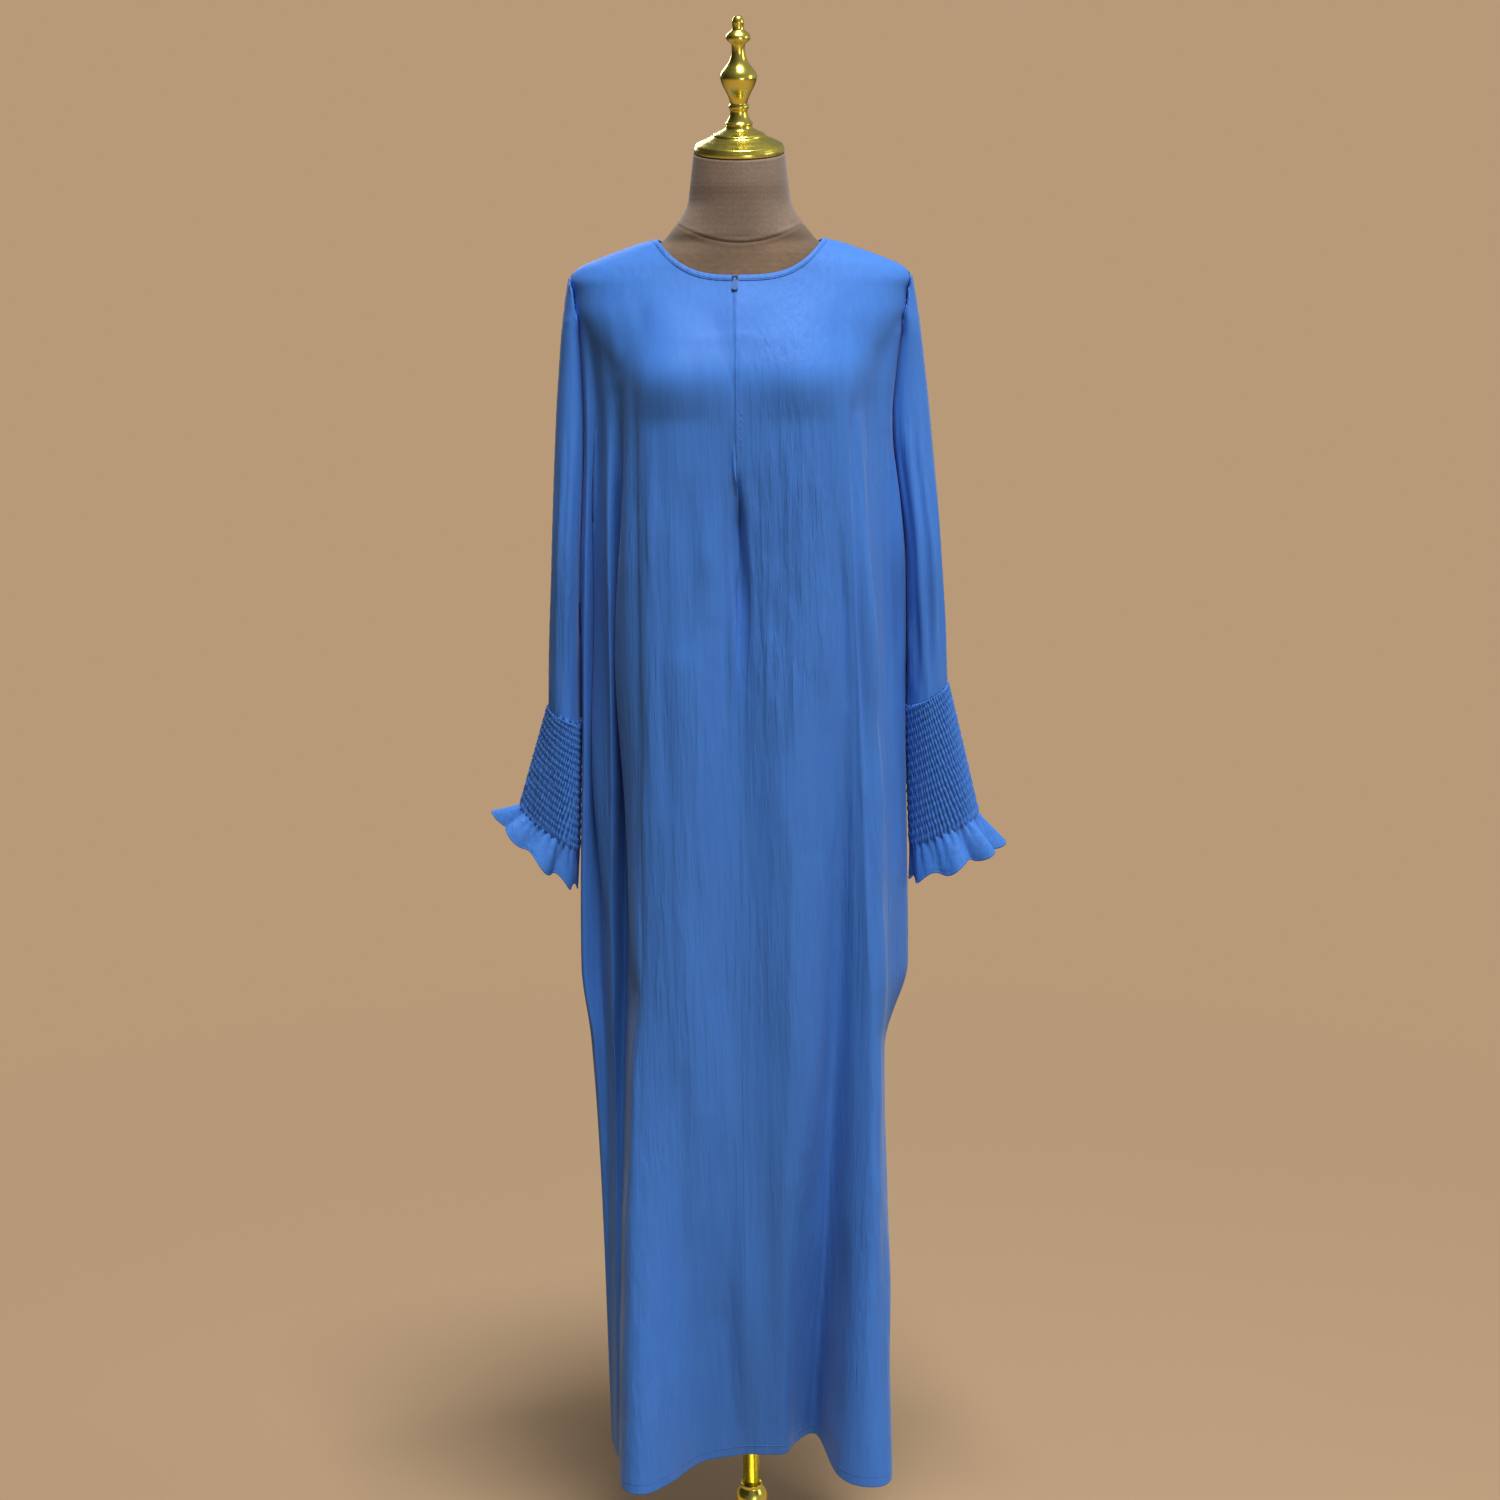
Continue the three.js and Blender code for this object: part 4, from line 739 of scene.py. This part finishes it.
def creased(half, us, creases, seed):
    """The half panel's grid with its creases, crinkles and drawn-in seams."""
    grid, cloth = panel(half, us)
    eased_y = grid[:, :, 1].copy()
    for _ in range(14):
        eased_y[:, 1:-1] = 0.25 * eased_y[:, :-2] + 0.5 * eased_y[:, 1:-1] + 0.25 * eased_y[:, 2:]
    turning = smooth(1500, 1470, grid[:, :, 2]) * smooth(1330, 1360, grid[:, :, 2])
    stands_off = air_at(half.side * abs(grid[:, :, 0]), half.face) + 0 * grid[:, :, 0]
    away = np.array([skin(col[:, 0], col[:, 2], half.face, off) for col, off in zip(grid, stands_off)])
    outside = half.face * np.maximum(half.face * eased_y, away)
    grid[:, :, 1] = mix(grid[:, :, 1], outside, turning * (us <= half.body)[:, None])
    normal = surface_normals(grid, half.face, half.side)
    normal[0] = (0, half.face, 0)
    x, z = grid[:, :, 0], grid[:, :, 2]
    w = np.clip(us - half.body, 0, 1)[:, None] + 0 * x
    on_body, on_sleeve = w <= 0, w > 0
    free = 0.35 + 0.65 * smooth(1440, 1330, z)
    arc = np.r_[0, np.cumsum(np.linalg.norm(np.diff(grid[:, 60], axis=0)[:, :2], axis=1))][:, None] + 0 * x
    pulled = 1.0 if half.side > 0 else 0.3
    high = np.where(on_body, laid(creases, x, z), pulled * laid(SLEEVE_CREASES, w, z, stretch=70.0))
    lively = 0.42 + 1.0 * np.exp(-((x - 62) / 48) ** 2) * smooth(980, 1120, z)
    fine_crinkles = ripple(arc * half.side, z, seed, count=7, pitch=8.0, high=0.38)
    high = high * free + fine_crinkles * free * lively
    # The side seam holds both edges level below the sleeve.
    off_side = smooth(0, 0.2, np.maximum(half.body - us, 0))[:, None]
    high *= np.where(on_body, mix(off_side, 1, smooth(CROTCH_Z, CROTCH_Z + 60, z)), 1)
    # Gathers where the sleeve goes into the cuff.
    cuff_z = mix(half.cuff[1], half.cuff[3], turned_half(w))
    gather = np.exp(-((z - cuff_z) / 26.0).clip(0) ** 1.3)
    high += np.where(on_sleeve, gather * 1.5 * np.sin(w * 64 + 1.6 * np.sin(w * 15 + seed)), 0)
    # Seams and hem draw the cloth in at its edges.
    closed = smooth(ZIP_FOOT + 8, ZIP_FOOT - 8, z) if half.face < 0 else 1
    edge = np.minimum(arc - arc[0] + 9 * closed, np.where(z > CROTCH_Z, arc[-1] - arc, 99))
    pinch = -0.7 * np.exp(-(edge / 1.6) ** 2) * (1 + 0.25 * np.sin(z / 2.9 + seed))
    hem = -0.5 * np.exp(-((z - HEM_Z - HEM_TURN) / 1.5) ** 2) * np.where(on_body, 1, 0)
    high = np.where(edge < 4, high * smooth(0, 4, edge), high) + pinch + hem
    high = np.where(grid[:, :, 2] > 1500, np.maximum(high, -0.6), high)
    grid = grid + normal * high[:, :, None]
    if half.face < 0:
        grid[0, :, 0] = np.where(grid[0, :, 2] < ZIP_FOOT, CF_X, grid[0, :, 0])
    return grid, cloth, arc


def looseness(p, liveliest):
    """How freely the cloth hangs at points p, from taut on the shoulders to slack below the bust."""
    hanging = 0.22 + 0.78 * smooth(1400, 1280, p[:, 2])
    lively = np.exp(-((p[:, 0] - liveliest) / 55) ** 2) * smooth(980, 1150, p[:, 2]) * (p[:, 1] < 0)
    return hanging * (0.36 + 1.25 * lively)


def thicken(made, thickness):
    """Gives a sheet its thickness in millimetres, inwards from its outer face."""
    thick = made.modifiers.new("thickness", "SOLIDIFY")
    thick.thickness, thick.offset = thickness / 1000, -1.0


def cloth_piece(name, grid, cloth, arc, material, turned_over, replaced):
    """A thin closed shell from a grid of outer points."""
    count, rows = cloth.shape
    index = -np.ones((count, rows), int)
    quads = cloth[:-1, :-1] & cloth[1:, :-1] & cloth[:-1, 1:] & cloth[1:, 1:]
    used = np.zeros((count, rows), bool)
    for dc, dr in ((0, 0), (1, 0), (0, 1), (1, 1)):
        used[dc:count - 1 + dc, dr:rows - 1 + dr] |= quads
    index[used] = np.arange(used.sum())
    cs, rs = np.nonzero(quads)
    faces = np.c_[index[cs, rs], index[cs + 1, rs], index[cs + 1, rs + 1], index[cs, rs + 1]]
    if turned_over:
        faces = faces[:, ::-1]
    points = grid[used] + np.array([0, 0, LIFT])
    uv = np.c_[arc[used], grid[used][:, 2]] / 1000
    marks = {"loose": looseness(grid[used], 60)}
    made = piece(name, points, faces.tolist(), material, uv=uv, marks=marks)
    thicken(made, SHELL)
    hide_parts(replaced)
    return made


# ---------------------------------------------------------- robe: the fronts
# Two fronts with their half sleeves cut in one, joined down the middle: a
# concealed zip above, and a pleat that opens below it.
fronts = {}
for name, side in SIDES.items():
    middle = (side * CF_X + 0.5 * SEAM, lambda z, s=side: s * CF_X + 0.5 * SEAM + 0 * z, CF_FRONT)
    half = Half(name, -1, FRONT[name], middle)
    us = fold_steps(half.body, per_fold=9, per_sleeve=26)
    grid, cloth, arc = creased(half, us, FRONT_CREASES, seed=3)
    fronts[name] = (half, us, grid)
    made = cloth_piece(f"crepe_front_{name}", grid, cloth, arc, crepe, name == "left", f"front_{name}")

# ------------------------------------------------------------ robe: the back
# One piece from overarm seam to overarm seam, hanging from the shoulders in
# broad flutes down to the hem.
halves = []
for name in ("right", "left"):
    half = Half(name, 1, BACK, (0, lambda z: 0 * z, CF_BACK))
    us = fold_steps(half.body, per_fold=8, per_sleeve=20)
    us = us[(us > 0.1) | (us == 0)]
    halves.append((half, *creased(half, us, BACK_CREASES, seed=5)))
(right, grid_r, cloth_r, arc_r), (left, grid_l, cloth_l, arc_l) = halves
middle_row = (grid_r[0] + grid_l[0]) / 2
middle_row[:, 1] = np.maximum(middle_row[:, 1], (grid_r[1, :, 1] + grid_l[1, :, 1]) / 2 - 0.3)
grid = np.concatenate([grid_r[:0:-1], middle_row[None], grid_l[1:]])
cloth = np.concatenate([cloth_r[:0:-1], cloth_l])
arc = np.concatenate([-arc_r[:0:-1], arc_l])
made = cloth_piece("crepe_back", grid, cloth, arc, crepe, False, "back")

# ---------------------------------------------------- shirred ruffle cuffs
# A tube of the same crepe, shirred with rows of elastic thread so that it
# puckers all over, and left loose below the last row as a ruffle.

# Ovals like CUFF_TOP, where the shirring ends and at the ruffle's edge.
CUFF_END = {"left": (193.5, 846, 270, 879, 29), "right": (196, 842, 261, 892, 30)}
RUFFLE_EDGE = {"left": (194, 801, 297, 843, 40), "right": (199.5, 794, 286, 877, 40)}
SHIRRING_ROWS, GATHERS, RUFFLE_WAVES = 25, 60, 8
shirred = crepe_material("shirred crepe", strength=0.8, stretch=0.30, depth=0.0010)


def oval(section, side, a):
    """Points of a slanting oval: a is 0 at the inner end and 90 degrees in front."""
    xi, zi, xo, zo, deep = section
    t = 0.5 - 0.5 * np.cos(a)
    return np.c_[side * mix(xi, xo, t), -deep * np.sin(a), mix(zi, zo, t)]


def middle_of(section, side):
    """The middle of that oval."""
    return np.array([side * (section[0] + section[2]) / 2, 0, (section[1] + section[3]) / 2])


for name, side in SIDES.items():
    count = 448
    rng = np.random.default_rng(21 if side > 0 else 34)
    a = 2 * np.pi * np.arange(count) / count
    ovals = [(oval(row[name], side, a), middle_of(row[name], side))
             for row in (CUFF_TOP, CUFF_END, RUFFLE_EDGE)]

    def ring(t, u, lift, fall):
        """Points round the cuff, `t` down the shirring and `u` down the ruffle."""
        p, mid = (mix(mix(high, low, t**1.1), edge, u) for high, low, edge in zip(*ovals))
        out = p - mid
        out /= np.linalg.norm(out, axis=1, keepdims=True)
        p = p + out * np.asarray(lift)[:, None]
        p[:, 2] += fall - SEAM
        return p

    # Each band between two elastic rows puffs into gathers that wander a
    # little from band to band, so the whole reads as slanting broken ribs.
    sub, outer = 3, []
    wander = np.cumsum(rng.normal(0, 0.30, (SHIRRING_ROWS, 6)), axis=0)
    shifts = [sum(wander[b, k] * np.sin((k + 2) * a + k) for k in range(6)) + 1.9 * b
              for b in range(SHIRRING_ROWS)]
    for r in range(SHIRRING_ROWS * sub + 1):
        band = min(r // sub, SHIRRING_ROWS - 1)
        t = (r - band * sub) / sub
        puff, height = math.sin(math.pi * t) if 0 < t < 1 else 0.0, r / sub
        turn = mix(shifts[band], shifts[min(band + 1, SHIRRING_ROWS - 1)], t)
        uneven = 1 + 0.32 * np.sin(17 * a + height * 2.3) * np.sin(13 * a - height * 1.9)
        rib = (0.5 + 0.5 * np.cos(GATHERS * a - turn)) ** 0.9
        high = uneven * (2.6 + 0.25 * puff) * rib - 0.6
        outer.append(ring(r / (SHIRRING_ROWS * sub), 0, high, 0))
    # The ruffle: its gathers die out into a few deep waves.
    for u in np.linspace(0.04, 1, 26):
        grow = u**0.8
        fold = RUFFLE_WAVES * a + 0.7 + 0.55 * np.sin(2 * a + side)
        wave = 9.2 * np.cos(fold) * (1 + 0.35 * np.sin(3 * a + 1.4 * side)) + 1.5 * np.cos(4 * a)
        wave = wave * grow * (0.22 + 0.78 * np.sin(a / 2) ** 2)
        small = 1.5 * np.cos(GATHERS / 2 * a + 1.2 * np.sin(3 * a)) * math.exp(-(u / 0.30) ** 1.2)
        small += 0.5 * np.cos(19 * a + 2 * np.sin(2 * a)) * (1 - u) * u * 4
        lip = 0.45 * math.exp(-((u - 0.93) / 0.025) ** 2)
        outer.append(ring(1, u, wave + small - lip, 4.0 * np.sin(fold - 0.5) * u))
    rows = len(outer)
    points = np.concatenate(outer) + np.array([0, 0, LIFT])
    faces = [f[::-1] for f in net(rows, count)] if side < 0 else net(rows, count)
    steps = [float(np.linalg.norm(b - c, axis=1).mean()) for b, c in zip(outer, outer[1:])]
    along = np.cumsum(np.r_[0, steps])
    uv = np.c_[np.tile(a * 0.035, rows), np.repeat(along / 1000, count)]
    marks = {"loose": np.ones(len(points))}
    made = piece(f"shirred_cuff_{name}", points, faces, shirred, uv=uv, marks=marks)
    thicken(made, CUFF_SHELL)
    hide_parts(f"cuff_{name}")

# ------------------------------------------------------------ neck binding
# A narrow bias strip folded over the raw neck edge and stitched down, open
# where the zip's slider sits.
OPEN = 3.4


def bound(p, face):
    """The strip's section at a point of the panels' top edge."""
    t = p[0] / (NECK_HALF + BIND)
    corner, w = abs(t) > 0.999, abs(t) ** 6
    ax = t * NECK_HALF
    az = neckline(ax, face, 0)
    ay = 0 if corner else face * float(skin(np.array([ax]), np.array([az]), face, air_at(ax, face))[0])
    a, b = np.array([ax, ay, az]), (np.array([p[0], 0, p[2]]) if corner else p)
    down = (b - a) / np.linalg.norm(a - b)
    low, lap = b - down * SEAM, b + down * 0.9
    way = np.array([0, face * (1 - w), w])
    outside = [mix(a, lap, s) + way * (0.62 * math.sin(math.pi * (0.06 + 0.74 * s)) ** 0.6)
               for s in np.linspace(0, 1, 8)]
    under = [lap + way * 0.14, low + way * 0.14]
    inside = [mix(low, a, s) - way * (1.3 if 0 < s < 1 else 1.0) for s in (0, 0.15, 0.5, 0.85, 1)]
    return outside + under + inside


def top_edge(half, us, clear=0.0):
    """The panel's edge along the neck, from `clear` past the fronts' middle line."""
    found = []
    for u in us:
        t, z = half.top_of(u)
        p = half.at(u, np.array([z]))[0]
        if abs(p[0]) < NECK_HALF + BIND + 0.01 and abs(p[0] - CF_X) > clear:
            found.append(p)
    return found


rim = []
for name in ("right", "left"):
    row = top_edge(fronts[name][0], np.linspace(0, 4.0, 84), OPEN)
    rim.append([bound(p, -1) for p in row])
backs = [top_edge(h, np.linspace(0, 3.0, 60)) for h in (right, left)]
behind_neck = backs[0][:-1][::-1] + backs[1][1:-1]
sections = rim[0] + [bound(p, 1) for p in behind_neck] + rim[1][::-1]
per = len(sections[0])
points = np.concatenate([np.array(sec) for sec in sections]) + np.array([0, 0, LIFT])
faces = net(len(sections), per) + [tuple(range(per))[::-1], tuple(len(points) - per + i for i in range(per))]
binding = piece("crepe_neck_binding", points, faces, crepe,
                uv=points[:, [0, 2]] / 1000, marks={"loose": np.full(len(points), 0.4)})
mesh = bmesh.new()
mesh.from_mesh(binding.data)
bmesh.ops.recalc_face_normals(mesh, faces=mesh.faces)
mesh.to_mesh(binding.data)
mesh.free()
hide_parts("neck_binding")

# ------------------------------------------------------------------- thread
# Lines of small stitches: Geometry Nodes lay one stitch after another along
# a path, each a short round thread with flat capped ends.
thread, bsdf, add = shader("sewing thread")
strands = {"Vector": place_of(add), "Scale": 900.0, "Distortion": 1.0}
twist = add("ShaderNodeTexWave", strands, wave_type="BANDS", bands_direction="DIAGONAL")
feed(bsdf, {"Base Color": between(add, twist.outputs["Fac"], (0.05, 0.12, 0.42), (0.09, 0.19, 0.58)),
            "Roughness": 0.6, "Sheen Weight": 0.2})

stitching, given, result, geo = group_of(
    "GeometryNodeTree", "stitches along a path",
    [("Geometry", "NodeSocketGeometry", None), ("Pitch", NUMBER, 0.003), ("Stitch", NUMBER, 0.0023),
     ("Thread", NUMBER, 0.00022), ("Finish", "NodeSocketMaterial", None)],
    [("Geometry", "NodeSocketGeometry")])
path = geo("GeometryNodeResampleCurve", {"Curve": given["Geometry"], "Length": given["Pitch"]}, mode="LENGTH")
half_stitch = worked_out(geo, "MULTIPLY", given["Stitch"], 0.5)
start = geo("ShaderNodeCombineXYZ", {"X": worked_out(geo, "MULTIPLY", half_stitch, -1.0)})
finish = geo("ShaderNodeCombineXYZ", {"X": half_stitch})
line = geo("GeometryNodeCurvePrimitiveLine", {"Start": start.outputs[0], "End": finish.outputs[0]})
bow = geo("GeometryNodeResampleCurve", {"Curve": line.outputs["Curve"], "Count": 5})
strand = geo("GeometryNodeCurvePrimitiveCircle", {"Resolution": 6, "Radius": given["Thread"]})
tube = geo("GeometryNodeCurveToMesh", {"Curve": bow.outputs["Curve"], "Fill Caps": True,
                                       "Profile Curve": strand.outputs["Curve"]})
heading = geo("GeometryNodeInputTangent")
turn = geo("FunctionNodeAlignEulerToVector", {"Vector": heading.outputs[0]}, axis="X")
laid_out = geo("GeometryNodeInstanceOnPoints", {"Points": path.outputs["Curve"], "Rotation": turn.outputs[0],
                                                "Instance": tube.outputs["Mesh"]})
real = geo("GeometryNodeRealizeInstances", {"Geometry": laid_out.outputs["Instances"]})
coloured = geo("GeometryNodeSetMaterial", {"Geometry": real.outputs["Geometry"], "Material": given["Finish"]})
feed(result, {"Geometry": coloured.outputs["Geometry"]})


def along_paths(name, paths, tree, values):
    """Runs a Geometry Nodes tree on curves through the paths, and keeps the plain mesh."""
    data = bpy.data.curves.new(name, "CURVE")
    data.dimensions = "3D"
    for line in paths:
        spline = data.splines.new("POLY")
        spline.points.add(len(line) - 1)
        placed = (np.asarray(line) + [0, 0, LIFT]) / 1000
        spline.points.foreach_set("co", np.c_[placed, np.ones(len(line))].ravel())
    guide = bpy.data.objects.new(name + "_guide", data)
    scene.collection.objects.link(guide)
    modifier = guide.modifiers.new("lay", "NODES")
    modifier.node_group = tree
    for item in tree.interface.items_tree:
        if item.item_type == "SOCKET" and item.in_out == "INPUT" and item.name in values:
            modifier[item.identifier] = values[item.name]
    bpy.context.view_layer.update()
    mesh = bpy.data.meshes.new_from_object(guide.evaluated_get(bpy.context.evaluated_depsgraph_get()))
    mesh.name = name
    made = bpy.data.objects.new(name, mesh)
    scene.collection.objects.link(made)
    guide.modifiers.remove(modifier)
    bpy.data.objects.remove(guide)
    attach(made, "stand")


def down_panel(name, inset, z0, z1, proud=0.25):
    """A line down a front panel, at a distance from its middle edge."""
    grid = fronts[name][2]
    arc = np.linalg.norm(np.diff(grid, axis=0), axis=2).cumsum(axis=0)
    line = []
    for r in range(grid.shape[1]):
        if z1 <= grid[0, r, 2] <= z0:
            c = int(np.searchsorted(arc[:, r], inset))
            before = arc[c - 1, r] if c else 0.0
            t = (inset - before) / (arc[c, r] - before)
            line.append(mix(grid[c, r], grid[c + 1, r], t) + np.array([0, -proud, 0]))
    return line


def round_hem(name, up, proud=0.2):
    """A line round the hem of a front panel, a little above its edge."""
    half, us, grid = fronts[name]
    row = int(np.argmin(np.abs(grid[0, :, 2] - HEM_Z - up)))
    return grid[us <= half.body + 1e-6, row] + np.array([0, -proud, 0])


ZIP_STITCH = 3.0              # the stitches beside the zip, from its middle line
seams = [[np.array(sec[5]) + np.array([0, -0.15, 0.5]) for sec in half_rim[1:-4]] for half_rim in rim]
seams.append(down_panel("left", inset=ZIP_STITCH, z0=1478, z1=ZIP_FOOT))
seams += [round_hem(name, HEM_TURN) for name in SIDES]
# Short drag stitches across the foot of the zip.
front_grid = fronts["left"][2]
for n, z in enumerate((1349, 1343, 1336, 1330, 1322, 1315)):
    row = int(np.argmin(np.abs(front_grid[0, :, 2] - z)))
    start = mix(front_grid[0, row], front_grid[1, row], 0.5)
    level = z - start[2]
    end = np.array([5.8 - 0.5 * (n % 3), -0.35, level + 0.4])
    seams.append([start + np.array([0.2, -0.3, level]), start + end])
STITCHES = {"Pitch": 0.0030, "Stitch": 0.0024, "Thread": 0.00020, "Finish": thread}
along_paths("robe_stitches", seams, stitching, STITCHES)

# --------------------------------------------------------------------- zip
# A concealed zip: its tape lies behind the edges of the fronts, and only the
# slider and its tear-drop pull show in the gap of the binding.
tape_cloth, bsdf, add = shader("zip tape")
weave = add("ShaderNodeGroup", node_tree=plain_weave)
feed(weave, {"Vector": place_of(add), "Threads per metre": 2400.0, "Slub": 0.2})
tint = ranged(add, weave.outputs["Shade"], (0, 1), (0.8, 1.2))
dyed = add("ShaderNodeVectorMath", {0: (0.055, 0.13, 0.43), "Scale": tint}, operation="SCALE")
feed(bsdf, {"Base Color": dyed.outputs[0], "Roughness": 0.75,
            "Normal": bump(add, weave.outputs["Height"], distance=0.0002, strength=0.8)})

lacquer, bsdf, add = shader("lacquered zip metal")
wear = noise(add, place_of(add), 900.0, 3.0)
feed(bsdf, {"Base Color": between(add, wear, (0.035, 0.10, 0.30), (0.055, 0.14, 0.38)),
            "Roughness": ranged(add, wear, (0, 1), (0.42, 0.56)), "Specular IOR Level": 0.12})
for node, finish in (("zip_tape", tape_cloth), ("zip_slider", lacquer), ("zip_pull", lacquer)):
    nodes[node].data.materials.clear()
    nodes[node].data.materials.append(finish)

# --------------------------------------------------------------- the studio
# A pale sandy floor that fades into a plain warm backdrop, one large soft lamp
# above and in front, and weaker fills from low in front, the side and behind.
WALL = (0.479, 0.323, 0.191)  # the backdrop's colour
floor_mesh = bpy.data.meshes.new("floor")
floor_mesh.from_pydata([(-30, -30, 0), (30, -30, 0), (30, 30, 0), (-30, 30, 0)], [], [(0, 1, 2, 3)])
floor = bpy.data.objects.new("floor", floor_mesh)
scene.collection.objects.link(floor)
sand, bsdf, add = shader("pale floor")
ground = place_of(add)
mottle = noise(add, ground, 0.8, 2.0)
feed(bsdf, {"Base Color": between(add, mottle, (0.335, 0.231, 0.140), (0.353, 0.243, 0.147)),
            "Specular IOR Level": 0.1, "Roughness": 0.85})
outwards = add("ShaderNodeVectorMath", {0: ground}, operation="LENGTH")
far = ranged(add, outwards.outputs["Value"], (0.5, 2.6), shape="SMOOTHSTEP")
backdrop = add("ShaderNodeEmission", {"Color": (*WALL, 1)})
seen = add("ShaderNodeLightPath")
looked_at = worked_out(add, "MULTIPLY", far, seen.outputs["Is Camera Ray"])
blend = add("ShaderNodeMixShader", {0: looked_at, 1: bsdf.outputs[0], 2: backdrop.outputs[0]})
feed(sand.node_tree.nodes["Material Output"], {"Surface": blend.outputs[0]})
floor_mesh.materials.append(sand)

# The room gives a plain white light, fuller from the right; seen directly it
# has the backdrop's colour.
world = bpy.data.worlds.new("studio")
world.use_nodes = True
AMBIENT = 0.19
add = adder(world.node_tree)
glow = world.node_tree.nodes["Background"]
way = add("ShaderNodeSeparateXYZ", {0: add("ShaderNodeTexCoord").outputs["Generated"]})
side_light = ranged(add, way.outputs["X"], (-1.0, 1.0), (0.1 * AMBIENT, 1.9 * AMBIENT))
feed(glow, {"Color": (1.0, 0.98, 0.95, 1), "Strength": side_light})
wall = add("ShaderNodeBackground", {"Color": (*WALL, 1), "Strength": 1.0})
seen = add("ShaderNodeLightPath")
choose = add("ShaderNodeMixShader", {0: seen.outputs["Is Camera Ray"], 1: glow.outputs[0],
                                     2: wall.outputs[0]})
feed(world.node_tree.nodes["World Output"], {"Surface": choose.outputs[0]})
scene.world = world


def lamp(name, place, target, size, power, tint=(1, 1, 1)):
    """A soft rectangular lamp that points at its target."""
    light = bpy.data.lights.new(name, "AREA")
    light.shape, light.size, light.size_y, light.energy, light.color = "RECTANGLE", *size, power, tint
    made = bpy.data.objects.new(name, light)
    made.location = place
    made.rotation_euler = (Vector(target) - Vector(place)).to_track_quat("-Z", "Y").to_euler()
    scene.collection.objects.link(made)


lamp("overhead", (0.75, -2.15, 7.8), (0, 0, 1.0), size=(2.2, 1.6), power=775, tint=(1.0, 0.99, 0.97))
lamp("low front", (1.7, -4.2, 0.9), (0, 0, 0.1), size=(1.3, 1.3), power=24)
lamp("right", (3.2, -0.6, 2.2), (0, 0, 0.9), size=(1.0, 1.6), power=16)
lamp("behind", (-1.4, 3.6, 3.2), (0, 0, 1.0), size=(1.6, 1.6), power=45)
